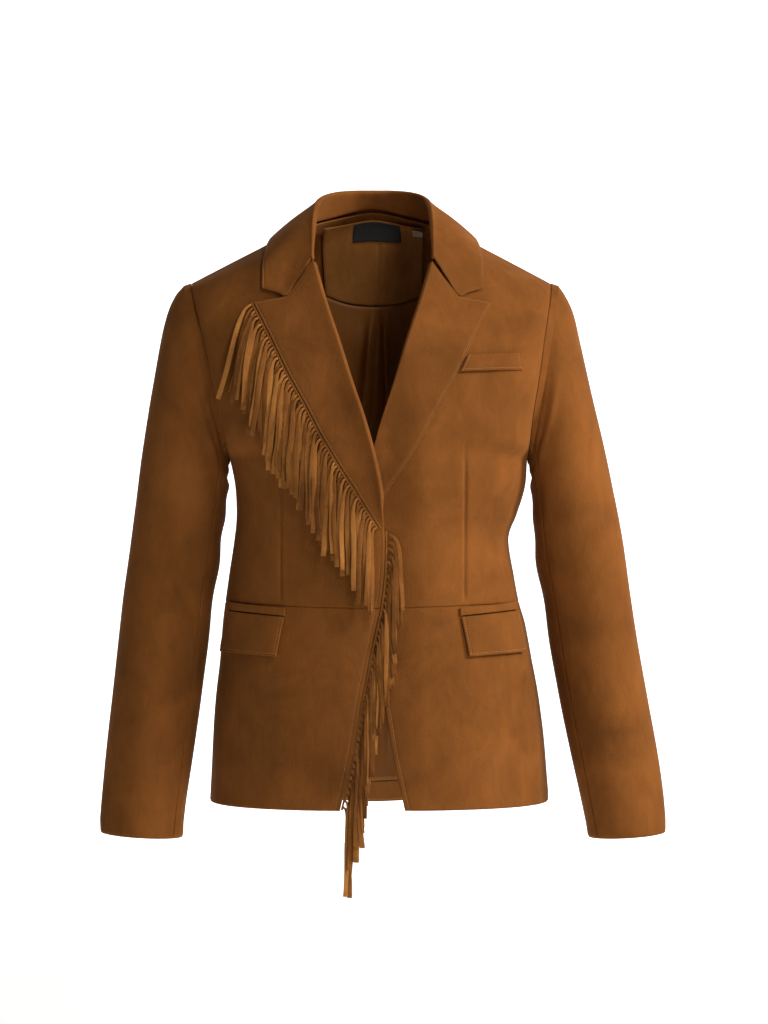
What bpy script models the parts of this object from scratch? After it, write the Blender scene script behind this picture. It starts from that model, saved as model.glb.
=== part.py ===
"""A fringed suede jacket with peak lapels, kept in the hollow shape that it has when worn.

Sizes are in millimetres and are turned to metres where a mesh is made. +X is the wearer's left,
-Y the front and +Z up. The origin lies between the shoulders, level with the neck, where a
wearer's shoulders carry the jacket. Each cut piece is one wall of suede in its own object.
"""
from collections import namedtuple

import bpy
import numpy as np

# Driving sizes in millimetres
SUEDE = 1.6            # wall of a body panel
FOLDED = 2.2           # lapel, collar and flap, which are two skins
SILK = 1.0             # lining
TO_SIDE_SEAM = 1 - 9e-7  # share of the half width where a panel ends, 0.3 mm short of the seam
SEAM_GAP = 0.5         # between the pieces at a seam
TUCK = 6.5             # how far the wearer's left front lies in behind the right one
ROUNDNESS = 2.25       # exponent of the oval sections
MIDDLE_BEND = 0.15     # how softly a row turns down from the middle to its sides
WAIST_ROW = 5.0        # the seam round the low waist
UNDERARM_ROW = 10.0
SHOULDER_ROW = 17.0
NAPE_ROW = 16.0
NECK_HALF = 78.0       # from the middle to the neck end of the shoulder seam
RIGHT, LEFT = -1.0, 1.0

MILLIMETRE = 0.001

SUEDE_COLOUR = (0.24, 0.10, 0.035, 1.0)
FRINGE_COLOUR = (0.28, 0.125, 0.045, 1.0)
LINING_COLOUR = (0.085, 0.032, 0.012, 1.0)
LABEL_COLOUR = (0.012, 0.012, 0.014, 1.0)
TAG_COLOUR = (0.42, 0.36, 0.30, 1.0)

# A row for each section of the body, from hem to shoulder seam. "mid" is the section's middle and
# "edge" its end at the side seam or, above the underarm, at the armhole. "inner" is the front's
# own edge: negative where it laps past the middle, and the roll line of the lapel above that.
Front = namedtuple("Front", "mid_z mid_y edge_z edge_y half_right half_left inner")
FRONT_ROWS = [
    Front(-633, -128, -634, 6, 182.0, 196.0, 35),
    Front(-574, -125, -572, 6, 179.0, 191.0, 22),
    Front(-519, -120, -518, 6, 175.5, 185.0, 13),
    Front(-478, -114, -478, 5, 171.0, 177.5, 5),
    Front(-439, -109, -438, 5, 168.0, 170.0, -3),
    Front(-417, -105, -413, 5, 165.0, 163.0, -8),
    Front(-384, -102, -384, 5, 161.0, 157.5, -12),
    Front(-344, -100, -344, 5, 155.0, 151.5, -13),
    Front(-314, -104, -315, 5, 152.5, 161.0, -10),
    Front(-283, -112, -285, 5, 154.0, 170.0, -7),
    Front(-250, -118, -257, 5, 159.0, 172.0, 0),
    Front(-213, -118, -240, -30, 162.0, 173.0, 10),
    Front(-173, -112, -205, -50, 168.0, 176.0, 23),
    Front(-126, -101, -160, -56, 177.0, 183.0, 37),
    Front(-77, -85, -118, -52, 187.0, 189.0, 52),
    Front(-27, -66, -86, -38, 196.0, 194.5, 64),
    Front(2, -42, -66, -18, 201.0, 197.5, 71),
    Front(36, 8, -57, 6, 203.0, 198.5, NECK_HALF),
]
Back = namedtuple("Back", "mid_z mid_y edge_z edge_y half_right half_left")
BACK_ROWS = [
    Back(-650, 128, -634, 6, 182.0, 196.0),
    Back(-588, 127, -572, 6, 179.0, 191.0),
    Back(-527, 123, -518, 6, 175.5, 185.0),
    Back(-482, 117, -478, 5, 171.0, 177.5),
    Back(-440, 110, -438, 5, 168.0, 170.0),
    Back(-417, 104, -413, 5, 165.0, 163.0),
    Back(-383, 99, -384, 5, 161.0, 157.5),
    Back(-342, 93, -344, 5, 155.0, 151.5),
    Back(-312, 94, -315, 5, 152.5, 161.0),
    Back(-281, 99, -285, 5, 154.0, 170.0),
    Back(-248, 107, -257, 5, 159.0, 172.0),
    Back(-204, 114, -240, 34, 160.5, 172.0),
    Back(-156, 118, -205, 52, 166.0, 174.0),
    Back(-108, 118, -160, 60, 175.0, 181.0),
    Back(-60, 113, -118, 56, 185.5, 187.5),
    Back(-14, 103, -86, 44, 195.0, 194.0),
    Back(31, 84, -66, 24, 201.0, 197.5),
    Back(36, 8, -57, 6, 203.0, 198.5),
]

# A row for each ring of a sleeve, from just past the armhole to the cuff: its outer and inner
# point seen from the front, its middle in depth, and half its depth.
Ring = namedtuple("Ring", "outer_x outer_z inner_x inner_z mid_y half_depth")
RIGHT_RINGS = [
    Ring(211, -60, 161.5, -261, 4, 57), Ring(221, -72, 161.5, -267, 4, 58),
    Ring(230, -92, 161.5, -274, 5, 58.5), Ring(238, -125, 161.5, -283, 6, 58.5),
    Ring(247, -175, 162.5, -295, 7, 58), Ring(256, -232, 165.0, -317, 8, 57),
    Ring(263.5, -285, 169.0, -344, 9, 55), Ring(271.5, -345, 174.0, -378, 10, 53),
    Ring(279.5, -405, 181.0, -422, 9, 51), Ring(285.5, -462, 186.5, -473, 4, 49),
    Ring(290.5, -518, 192.5, -528, -4, 47), Ring(295, -572, 199.0, -580, -13, 45),
    Ring(299, -624, 205.5, -631, -22, 43), Ring(301.5, -666, 210.0, -672, -29, 41),
]
LEFT_RINGS = [
    Ring(207, -60, 174.5, -261, 4, 57), Ring(215, -72, 175.5, -267, 4, 58),
    Ring(224, -92, 176.0, -274, 5, 58.5), Ring(231.5, -125, 176.5, -283, 6, 58.5),
    Ring(243, -175, 177.0, -295, 7, 58), Ring(257, -232, 179.0, -317, 8, 57),
    Ring(268, -285, 180.5, -344, 9, 55), Ring(280, -345, 185.0, -378, 10, 53),
    Ring(289, -405, 193.0, -422, 9, 51), Ring(297.5, -462, 200.5, -473, 4, 49),
    Ring(306.5, -518, 209.5, -528, -4, 47), Ring(315, -572, 219.5, -580, -13, 45),
    Ring(321, -624, 230.0, -631, -22, 43), Ring(324, -666, 238.0, -672, -29, 41),
]
SLEEVE_ROWS = (0, 1, 2, 3.5, 5, 6.5, 8, 9.5, 11, 12.5, 14)
SLEEVE_SEAM = np.radians(0.4)   # half the gap between top and under sleeve, round the ring

# The lapel's outer edge, from the break up to the peak, as distance from the middle and height
Spot = namedtuple("Spot", "x z")
LAPEL_EDGE = [
    Spot(-7.5, -331), Spot(4, -312), Spot(18, -289), Spot(36, -261), Spot(54, -231),
    Spot(72, -197), Spot(91, -163), Spot(110, -124), Spot(130, -85),
]
NOTCH = Spot(93, -79)
BREAK_ROW, GORGE_ROW = 7.5, 14.95
LAPEL_ROLL = 5.0                 # how far the fold stands off the front
LAPEL_LIFT = 1.2                 # gap under the flat of the lapel

# Stations of the collar, from the middle of the back to its front end: the fold, the outer edge
# (distance from the middle, and row counted over the shoulder onto the back) and the neck seam.
Station = namedtuple("Station", "fold_x fold_y fold_z edge_x edge_row seam_x seam_row")
COLLAR = [
    Station(0, 74, 51.5, 0, 18.62, 0, 18.0), Station(22, 71, 51.0, 27, 18.60, 24, 17.97),
    Station(42, 59, 48.0, 56, 18.48, 48, 17.80), Station(56, 37, 41.5, 86, 18.05, 67, 17.45),
    Station(63, 9, 32.0, 113, 17.00, 77, 17.0), Station(65.5, -20, 16.0, 119, 15.95, 73, 16.35),
    Station(66.5, -45, -5.0, 120.5, 15.32, 69, 15.70), Station(66.5, -69, -37.0, 120.4, 14.73, 65.5, 15.10),
]
COLLAR_FOLD = 4.0                # radius of the collar's fold
FACING_DEPTH = 6.6               # inner face of the back neck facing, in from the back panel's face
LINING_DEPTH = 6.4
HEM_DEPTH = 3.5
FACING_REACH = 0.30              # half widths inside the back, as shares of the back's own
LINING_REACH = 0.89
HEM_FACING_REACH = 0.93

# The fringe: how the strands of a strip are made
FringeSettings = namedtuple("FringeSettings", "count length level bends steps rise")
STRAND_WIDE = 3.3
STRAND_THICK = 1.1
STRIP_START, STRIP_END = 0.7, 3.0
STRIP_THICK = 1.5
LAPEL_STRANDS, EDGE_STRANDS = 68, 42
LAPEL_STEPS = (0.06, 0.20, 1.0)
EDGE_STEPS = (0.06, 0.18, 1.0)
EDGE_SPREAD = 1.4                # how far apart the strands of the upright edge come to hang
HEM_Z = -631.0

SLOPE_OF_NECKLINE = 2.6


def smooth(t):
    """Ease from 0 to 1."""
    t = np.clip(t, 0.0, 1.0)
    return t * t * (3.0 - 2.0 * t)


def through(values, at):
    """A smooth curve through evenly numbered values that never runs past them, read at any number."""
    v = np.asarray(values, float)
    at = np.clip(np.asarray(at, float), 0.0, len(v) - 1.0)
    i = np.minimum(at.astype(int), len(v) - 2)
    t = at - i
    step = np.diff(v)
    inside = np.where(step[:-1] * step[1:] > 0, (step[:-1] + step[1:]) / 2, 0.0)
    slope = np.concatenate([step[:1], inside, step[-1:]])
    a, b = v[i], v[i + 1]
    return (a + (b - a) * t * t * (3.0 - 2.0 * t)
            + t * (1.0 - t) * (slope[i] * (1.0 - t) - slope[i + 1] * t))


def column(rows, name, at):
    """One named column of a table, read at fractional row numbers."""
    return through([getattr(row, name) for row in rows], at)


def half_width(rows, side, at):
    """Distance from the middle to the side seam or armhole on one side of the body."""
    return column(rows, "half_left" if side > 0 else "half_right", at)


def sheet_point(rows, side, x, at):
    """A point of the front's or back's outer face, x from the middle towards the side given."""
    half = half_width(rows, side, at)
    share = np.clip(np.abs(x) / half, 0.0, 1.0)
    rise = (1.0 - share ** ROUNDNESS) ** (1.0 / ROUNDNESS)
    edge_y, mid_y = column(rows, "edge_y", at), column(rows, "mid_y", at)
    edge_z, mid_z = column(rows, "edge_z", at), column(rows, "mid_z", at)
    round_off = (np.hypot(share, MIDDLE_BEND) - MIDDLE_BEND) / (np.hypot(1.0, MIDDLE_BEND) - MIDDLE_BEND)
    return np.stack(np.broadcast_arrays(
        side * x, edge_y + (mid_y - edge_y) * rise, mid_z + (edge_z - mid_z) * round_off), -1)


def body_point(side, x, row, lift=0.0):
    """A point of the body at a row counted up the front and, past the shoulder seam, down the back.

    lift moves it out along the face's normal, found from its neighbours."""
    x, row = np.broadcast_arrays(np.asarray(x, float), np.asarray(row, float))

    def on_face(x, row):
        ahead = sheet_point(FRONT_ROWS, side, x, np.minimum(row, SHOULDER_ROW))
        behind = sheet_point(BACK_ROWS, side, x, np.minimum(2 * SHOULDER_ROW - row, SHOULDER_ROW))
        return np.where((row <= SHOULDER_ROW)[..., None], ahead, behind)

    step_x, step_row = 1.5, 0.06
    across = on_face(x + step_x, row) - on_face(x - step_x, row)
    along = on_face(x, row + step_row) - on_face(x, row - step_row)
    normal = side * np.cross(across, along)
    normal /= np.linalg.norm(normal, axis=-1, keepdims=True) + 1e-9
    return on_face(x, row) + normal * np.asarray(lift)[..., None]


def row_at(side, x, z, low=0.0, high=SHOULDER_ROW):
    """The front's row that passes through a distance from the middle and a height, by halving."""
    x, z = np.broadcast_arrays(np.asarray(x, float), np.asarray(z, float))
    low, high = np.full(x.shape, low), np.full(x.shape, high)
    for _ in range(30):
        middle = (low + high) / 2
        below = sheet_point(FRONT_ROWS, side, x, middle)[..., 2] < z
        low, high = np.where(below, middle, low), np.where(below, high, middle)
    return (low + high) / 2


def tuck(side, x, row):
    """How far the wearer's left front lies in behind the right one where they lap."""
    if side < 0:
        return np.zeros(np.broadcast(x, row).shape)
    return TUCK * smooth((58.0 - x) / 44.0) * smooth((14.0 - row) / 3.0)


def normals_of(grid):
    """Unit normals of a grid of points, from its neighbours."""
    normal = np.cross(np.gradient(grid, axis=1), np.gradient(grid, axis=0))
    return normal / (np.linalg.norm(normal, axis=-1, keepdims=True) + 1e-9)


def material(name, colour, roughness):
    """One plain Principled material."""
    made = bpy.data.materials.new(name)
    made.use_nodes = True
    shader = made.node_tree.nodes["Principled BSDF"]
    shader.inputs["Base Color"].default_value = colour
    shader.inputs["Roughness"].default_value = roughness
    shader.inputs["Metallic"].default_value = 0.0
    return made


def add_mesh(name, points, faces, finish):
    """Put a mesh given in millimetres in the jacket's collection."""
    mesh = bpy.data.meshes.new(name)
    mesh.from_pydata((np.asarray(points).reshape(-1, 3) * MILLIMETRE).tolist(), [], faces)
    mesh.materials.append(finish)
    mesh.shade_smooth()
    made = bpy.data.objects.new(name, mesh)
    bpy.data.collections["fringed_jacket"].objects.link(made)
    return made


def grid_faces(rows, columns):
    """Triangles of a grid of points, all split the same way so that the faces of a wall match."""
    first = (np.arange(rows - 1)[:, None] * columns + np.arange(columns - 1)).reshape(-1, 1)
    split = np.concatenate([first + (0, 1, columns + 1), first + (0, columns + 1, columns)])
    return [tuple(face) for face in split.tolist()]


def wall(name, outer, inner, finish, outward):
    """A closed wall of cloth between the grids of its outer and its inner face.

    outward is a rough direction, for each point or for all, that the outer face looks in."""
    if (normals_of(outer) * outward).sum(-1).mean() < 0:
        outer, inner = outer[:, ::-1], inner[:, ::-1]
    rows, columns = outer.shape[:2]
    size = rows * columns
    skin = grid_faces(rows, columns)
    number = np.arange(size).reshape(rows, columns)
    ring = np.concatenate([number[0, :-1], number[:-1, -1], number[-1, :0:-1], number[:0:-1, 0]]).tolist()
    rim = [(b, a, a + size, b + size) for a, b in zip(ring, ring[1:] + ring[:1])]
    back = [tuple(n + size for n in face[::-1]) for face in skin]
    points = np.concatenate([outer.reshape(-1, 3), inner.reshape(-1, 3)])
    return add_mesh(name, points, skin + back + rim, finish)


def cloth(name, grid, thickness, finish, outward):
    """A wall of cloth under an outer face given as a grid of points."""
    normal = normals_of(grid)
    normal *= np.sign((normal * outward).sum(-1).mean())
    return wall(name, grid, grid - normal * thickness, finish, outward)


def away_from_axis(grid):
    """Directions from the body's upright axis to each point, the outside of a body panel."""
    return grid * np.array([1.0, 1.0, 0.0])


def front_panel(name, side, row, finish):
    """A front from its own edge or roll line to the side seam and armhole, at the rows given."""
    row = row[:, None]
    half = half_width(FRONT_ROWS, side, row)
    start = np.arcsin(column(FRONT_ROWS, "inner", row) / half)
    angle = start + (np.pi / 2 - start) * np.linspace(0, 1, 12)[None, :]
    x = np.minimum(np.sin(angle), TO_SIDE_SEAM) * half
    outer, inner = body_point(side, x, row), body_point(side, x, row, -SUEDE)
    inward = normals_towards(outer) * tuck(side, x, row)[..., None]
    return wall(name, outer - inward, inner - inward, finish, away_from_axis(outer))


def normals_towards(grid):
    """Unit normals of a body panel's grid, turned to look outwards."""
    normal = normals_of(grid)
    sign = np.sign((normal * away_from_axis(grid)).sum(-1).mean())
    return normal * sign


def neck_row(x):
    """The back's top row: the shoulder seam, and inside its neck end the scooped neckline."""
    share = np.clip(x / NECK_HALF, 0.0, 1.0)
    return NAPE_ROW + (SHOULDER_ROW - NAPE_ROW) * share ** SLOPE_OF_NECKLINE


def back_panel(name, side, row, finish):
    """A half back from the centre seam to the side seam and armhole, at the rows given.

    Rows past the underarm are spread up to the neck and the shoulder seam."""
    row = row[:, None]
    angle = np.concatenate([np.linspace(0, 0.39, 5), np.linspace(0.39, np.pi / 2, 8)[1:]])
    columns = np.minimum(np.sin(angle), TO_SIDE_SEAM)[None, :]
    top = neck_row(columns * half_width(BACK_ROWS, side, NAPE_ROW))
    above = np.maximum(row - UNDERARM_ROW, 0.0) / (SHOULDER_ROW - UNDERARM_ROW)
    row = row - above * (SHOULDER_ROW - top)
    x = np.maximum(columns * half_width(BACK_ROWS, side, row), SEAM_GAP / 2)
    outer, inner = (body_point(side, x, 2 * SHOULDER_ROW - row, lift) for lift in (0.0, -SUEDE))
    return wall(name, outer, inner, finish, away_from_axis(outer))


def armhole_angles(rows):
    """Where an armhole's rows fall round the sleeve, on its front half."""
    height = column(FRONT_ROWS, "edge_z", rows)
    ends = column(FRONT_ROWS, "edge_z", np.array([UNDERARM_ROW, SHOULDER_ROW]))
    return np.arcsin(np.clip(2 * (height - ends[0]) / (ends[1] - ends[0]) - 1, -1, 1))


def armhole_point(side, angle):
    """The armhole seam as a ring round the arm, by angle in radians."""
    share = (np.sin(angle) + 1) / 2
    rows = np.linspace(UNDERARM_ROW, SHOULDER_ROW, 80)
    points = []
    for table, is_front in ((FRONT_ROWS, True), (BACK_ROWS, False)):
        x = half_width(table, side, rows)
        seam = np.stack([side * x, column(table, "edge_y", rows), column(table, "edge_z", rows)], -1)
        height = (seam[:, 2] - seam[0, 2]) / (seam[-1, 2] - seam[0, 2])
        points.append(np.stack([np.interp(share, height, seam[:, k]) for k in range(3)], -1))
    return np.where((np.cos(angle) > 0)[..., None], points[0], points[1])


def sleeve_surface(side, angle, at):
    """Points of a sleeve: its armhole ring at 0, then the table's rings in turn."""
    table = RIGHT_RINGS if side < 0 else LEFT_RINGS
    ring = np.maximum(at - 1.0, 0.0)
    outer = np.stack([column(table, "outer_x", ring), column(table, "outer_z", ring)], -1)
    inner = np.stack([column(table, "inner_x", ring), column(table, "inner_z", ring)], -1)
    middle, arm = (outer + inner) / 2, (outer - inner) / 2
    lean = np.sin(angle)[..., None]
    flat = middle + arm * lean
    depth = column(table, "mid_y", ring) - column(table, "half_depth", ring) * np.cos(angle)
    tube = np.stack([side * flat[..., 0], depth, flat[..., 1]], -1)
    seam = armhole_point(side, angle) + np.array([side * (SEAM_GAP + 0.6), 0.0, 0.0])
    share = np.clip(at, 0.0, 1.0)[..., None]
    return seam + (tube - seam) * share


def sleeve_piece(name, side, rows, is_top, finish):
    """The top or the under piece of a two-piece sleeve, from its seam's row up or down.

    rows are the armhole's rows it passes on its way, so that its head meets the panels point
    for point."""
    front = armhole_angles(rows)
    back = np.pi - front
    angle = np.concatenate([front, back[-2::-1]]) if is_top else np.concatenate([back[::-1], front[1:] + 2 * np.pi])
    angle[0] += SLEEVE_SEAM
    angle[-1] -= SLEEVE_SEAM
    beyond = np.radians(8.0)
    angle = np.concatenate([[angle[0] - beyond], angle, [angle[-1] + beyond]])
    angle, at = np.broadcast_arrays(angle[None, :], np.array(SLEEVE_ROWS)[:, None])
    grid = sleeve_surface(side, angle, at)
    table = RIGHT_RINGS if side < 0 else LEFT_RINGS
    ring = np.maximum(at - 1.0, 0.0)
    axis = np.stack([
        side * (column(table, "outer_x", ring) + column(table, "inner_x", ring)) / 2,
        column(table, "mid_y", ring),
        (column(table, "outer_z", ring) + column(table, "inner_z", ring)) / 2], -1)
    normal = normals_of(grid)
    normal *= np.sign((normal * (grid - axis)).sum(-1).mean())
    inner = grid - normal * SUEDE
    return wall(name, grid[:, 1:-1], inner[:, 1:-1], finish, (grid - axis)[:, 1:-1])


def lapel_grid(side, rows, columns):
    """The turned-back lapel: rows from the break to the gorge, columns from roll to outer edge."""
    v = np.linspace(0, 1, rows)[:, None]
    w = np.linspace(0, 1, columns)[None, :]
    row = BREAK_ROW + (GORGE_ROW - BREAK_ROW) * v
    roll_x = column(FRONT_ROWS, "inner", row)
    roll_z = sheet_point(FRONT_ROWS, side, np.abs(roll_x), row)[..., 2]
    number = v * (len(LAPEL_EDGE) - 1)
    edge_x, edge_z = column(LAPEL_EDGE, "x", number), column(LAPEL_EDGE, "z", number)
    x = roll_x + (edge_x - roll_x) * w
    z = roll_z + (edge_z - roll_z) * w
    notch_at = 0.375
    straight_x = roll_x[-1] + (edge_x[-1] - roll_x[-1]) * notch_at
    straight_z = roll_z[-1] + (edge_z[-1] - roll_z[-1]) * notch_at
    bend = np.where(w < notch_at, w / notch_at, (1 - w) / (1 - notch_at)) * v ** 6
    x = x + bend * (NOTCH.x - straight_x)
    z = z + bend * (NOTCH.z - straight_z)
    return x, z, w, v


def lapel(name, side, finish):
    """A lapel lying on its front, rounded where it rolls back."""
    x, z, w, v = lapel_grid(side, 15, 9)
    row = row_at(side, np.abs(x), z)
    behind = tuck(side, x, row)
    roll = LAPEL_ROLL * np.exp(-(w * 4.2) ** 1.5) * smooth(v * 6) * (1 - behind / TUCK)
    grid = body_point(side, x, row)
    grid = grid + normals_towards(grid) * (LAPEL_LIFT + FOLDED + roll - behind)[..., None]
    rim = grid[:, :1] - normals_towards(grid)[:, :1] * (0.6 * roll[:, :1] + 0.5)[..., None]
    rim[..., 0] -= side * (1.2 + 0.5 * roll[:, :1])
    grid = np.concatenate([rim, grid], 1)
    return cloth(name, grid, FOLDED, finish, away_from_axis(grid))


def on_front(side, x, z, lift):
    """A point that lies on a front at a distance from the middle and a height."""
    return body_point(side, x, row_at(side, x, z), lift)


def collar(finish):
    """The collar: up the stand from the neck seam, over the fold and down to the outer edge."""
    stations = np.linspace(0, len(COLLAR) - 1, 19)
    share = stations / stations[-1]
    fold = np.stack([column(COLLAR, c, stations) for c in ("fold_x", "fold_y", "fold_z")], -1)
    leaf_lift = LAPEL_LIFT + FOLDED + 1.4
    seam = body_point(LEFT, column(COLLAR, "seam_x", stations), column(COLLAR, "seam_row", stations), 1.0)
    edge = body_point(LEFT, column(COLLAR, "edge_x", stations), column(COLLAR, "edge_row", stations),
                      leaf_lift + 2.5 * (1 - share))
    stand = (1 - smooth((share - 0.80) / 0.20))[:, None]
    level = np.array([1.0, 1.0, 0.0])
    out = (edge - seam) * level
    out /= np.linalg.norm(out, axis=-1, keepdims=True) + 1e-9
    up = np.array([0.0, 0.0, 1.0])
    radius = COLLAR_FOLD * (0.45 + 0.55 * stand)
    foot = seam - out * 2.6 + up * 1.8
    inner_top, outer_top = fold - out * radius, fold + out * radius
    columns = [foot, (foot + inner_top) / 2, inner_top, fold + up * radius * 0.9, outer_top]
    swell = up * 0.6 * stand + out * (1.0 + 1.5 * np.abs(2 * smooth((share - 0.2) / 0.6) - 1)[:, None])
    for w in (0.2, 0.4, 0.6, 0.8, 1.0):
        columns.append(outer_top + (edge - outer_top) * w + swell * np.sin(np.pi * w))
    grid = np.stack(columns, 1)
    gorge = grid[-1, 4]
    notch = on_front(LEFT, NOTCH.x, NOTCH.z + 2 * SEAM_GAP, leaf_lift)
    tip = grid[-1, -1]
    end = [gorge, gorge + (notch - gorge) * 0.5, notch, notch + (tip - notch) * 0.35,
           notch + (tip - notch) * 0.7, tip]
    pull = smooth((share - 0.70) / 0.30)[:, None] ** 2
    for number, target in enumerate(end):
        grid[:, 4 + number] += (target - grid[-1, 4 + number]) * pull
    mirrored = grid[:0:-1] * np.array([-1.0, 1.0, 1.0])
    whole = np.concatenate([mirrored, grid], 0)
    outward = whole * level
    outward[:, :3] *= -1.0
    return cloth("collar", whole, FOLDED - 0.2, finish, outward)


def patch_on_front(name, side, corners, size, lift, thickness, finish):
    """A piece that lies on a front: four corners as distance and height, and a lift in each corner.

    The corners run round from upper inner, upper outer, lower outer to lower inner."""
    columns, rows = size
    u, v = np.meshgrid(np.linspace(0, 1, columns), np.linspace(0, 1, rows))
    weights = ((1 - u) * (1 - v), u * (1 - v), u * v, (1 - u) * v)
    x = sum(w * c.x for w, c in zip(weights, corners))
    z = sum(w * c.z for w, c in zip(weights, corners))
    raised = sum(w * h for w, h in zip(weights, lift))
    grid = body_point(side, x, row_at(side, x, z))
    grid = grid + normals_towards(grid) * raised[..., None]
    return cloth(name, grid, thickness, finish, away_from_axis(grid))


def facing_seam(share):
    """The row of the seam between the back neck facing and the lining, by share of the width."""
    return 13.72 + 5.9 * np.minimum(np.abs(share), FACING_REACH) ** 2


def inner_back(name, low, high, size, reach, depth, thickness, finish, pleat=0.0):
    """A piece inside the back, from side to side, set in from the back panels by a depth.

    low and high give its first and last row by share of the back's width, and reach its half
    width as such a share; a pleat falls open down its middle."""
    rows, columns = size
    spread = np.linspace(-1, 1, columns)[None, :]
    share = reach * (0.4 * spread + 0.6 * spread ** 3)
    step = np.linspace(0, 1, rows)[:, None]
    row = low(share) + (high(share) - low(share)) * step
    halves = []
    for side in (RIGHT, LEFT):
        x = np.abs(share) * half_width(BACK_ROWS, side, row)
        halves.append(body_point(side, x, 2 * SHOULDER_ROW - row, -depth))
    grid = np.where((share < 0)[..., None], *halves)
    x = grid[..., 0]
    fold = np.exp(-((x - 9.0) / 7.0) ** 2) + 0.8 * np.exp(-((x + 13.0) / 7.0) ** 2)
    ripple = 0.25 * np.sin(x / 17.0) ** 2
    grid[..., 1] -= pleat * (fold + ripple) * smooth(3.0 * (1 - step)) * smooth(5.0 * step)
    return cloth(name, grid, thickness, finish, np.array([0.0, -1.0, 0.0]))


def inside_of_back(suede, silk):
    """What shows through the neck and below the hem: neck facing, lining and hem facing."""
    def neck(share):
        return neck_row(np.abs(share) * half_width(BACK_ROWS, RIGHT, NAPE_ROW)) - 0.16

    def level(row):
        return lambda share: row + 0.0 * share

    inner_back("back_neck_facing", facing_seam, neck, (10, 15), FACING_REACH, FACING_DEPTH, 1.2, suede)
    inner_back("back_lining", level(0.40), lambda share: facing_seam(share) - 0.03, (13, 25), LINING_REACH,
               LINING_DEPTH, SILK, silk, 7.0)
    inner_back("back_hem_facing", level(0.03), level(0.39), (2, 15), HEM_FACING_REACH, HEM_DEPTH, 1.2, suede)


def comb(name, inner, outer, normal, strands, finish):
    """A fringe: a narrow strip whose outer edge runs on into strands, with clear gaps between.

    inner and outer are the strip's edges, two points for each strand, and strands holds each
    strand's rings of four corners, in order from the strip's own outer corners."""
    half = normal * STRIP_THICK / 2
    strip = np.stack([inner + half, inner - half, outer - half, outer + half], 1).reshape(-1, 3)
    stations = len(inner)
    faces = [(0, 3, 2, 1), tuple(4 * (stations - 1) + n for n in range(4))]
    for a in range(0, 4 * (stations - 1), 4):
        b = a + 4
        faces += [(a, b, b + 3, a + 3), (a + 1, a + 2, b + 2, b + 1), (a, a + 1, b + 1, b)]
        if a % 8:
            faces.append((a + 2, a + 3, b + 3, b + 2))
    first = len(strip)
    for number in range(len(strands)):
        a, b = 8 * number, 8 * number + 4
        last = (a + 3, b + 3, b + 2, a + 2)
        for _ in range(strands.shape[1]):
            new = tuple(range(first, first + 4))
            faces += [(last[n], last[(n + 1) % 4], new[(n + 1) % 4], new[n]) for n in range(4)]
            last = new
            first += 4
        faces.append(last)
    faces = [face[::-1] for face in faces]
    return add_mesh(name, np.concatenate([strip, strands.reshape(-1, 3)]), faces, finish)


def fringe(name, edge_x, edge_z, settings, finish):
    """Strands along an edge: each leaves the edge square to it, bends over and hangs.

    edge_x is signed, +X the wearer's left, and the strands leave on the right hand of the edge's
    own direction, as the front is seen."""
    run_x, run_z = np.gradient(edge_x), np.gradient(edge_z)
    size = np.hypot(run_x, run_z)
    length = np.concatenate([[0], np.cumsum(np.hypot(np.diff(edge_x), np.diff(edge_z)))])
    pitch = length[-1] / settings.count
    starts = np.arange(settings.count) * pitch + (pitch - STRAND_WIDE) / 2
    marks = np.stack([starts, starts + STRAND_WIDE], 1)
    x, z, out_x, out_z = (np.interp(marks, length, values)
                          for values in (edge_x, edge_z, run_z / size, -run_x / size))

    def place(x, z, lift):
        """A point before the front; below the hem it hangs straight down."""
        spot = on_front(RIGHT, -x, np.maximum(z, HEM_Z), lift)
        spot[..., 2] += np.minimum(z - HEM_Z, 0.0)
        return spot

    inner = place(x + out_x * STRIP_START, z + out_z * STRIP_START, settings.level)
    outer = place(x + out_x * STRIP_END, z + out_z * STRIP_END, settings.level)
    normal = place(x + out_x * STRIP_END, z + out_z * STRIP_END, settings.level + 1.0) - outer
    normal /= np.linalg.norm(normal, axis=-1, keepdims=True)

    number = np.arange(settings.count)[:, None]
    run = np.array(settings.steps) * settings.length * (1 + 0.03 * np.sin(number * 2.4))
    bend = np.resize(settings.bends, settings.count)[:, None]
    turn = np.exp(-run / bend)
    aside = bend * (1 - turn)
    out_x, out_z = out_x.mean(1)[:, None], out_z.mean(1)[:, None]
    root_x = x.mean(1)[:, None] + out_x * STRIP_END
    root_z = z.mean(1)[:, None] + out_z * STRIP_END
    drop = run - aside - out_z * aside
    here_x, here_z = root_x + out_x * aside, root_z - drop
    heading_x, heading_z = out_x * turn, out_z * turn - (1 - turn)
    heading = np.hypot(heading_x, heading_z)
    wide = STRAND_WIDE / 2 * (1 - 0.08 * np.array(settings.steps)) / heading
    lift = settings.level + settings.rise(number, run)
    corners = [place(here_x - heading_z * wide * a, here_z + heading_x * wide * a, lift + b * STRAND_THICK / 2)
               for a, b in ((-1, 1), (1, 1), (1, -1), (-1, -1))]
    rings = np.stack(corners, 2)
    flat = [part.reshape(-1, 3) for part in (inner, outer, normal)]
    return comb(name, *flat, rings, finish)


def in_layers(number, run):
    """Three layers in turn, that part close to the roots and go on parting."""
    return (number % 3) * (1.8 * smooth(run / 6.0) + 0.014 * run)


def lapel_rise(number, run):
    """Lapel strands lie three deep, in turn, and fall clear of the front."""
    return in_layers(number, run) + 6.0 * smooth(run / 60.0)


def edge_rise(number, run):
    """Strands of the upright edge hang before the opening."""
    return in_layers(number, run) + 1.5 * smooth(run / 30.0)


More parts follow.
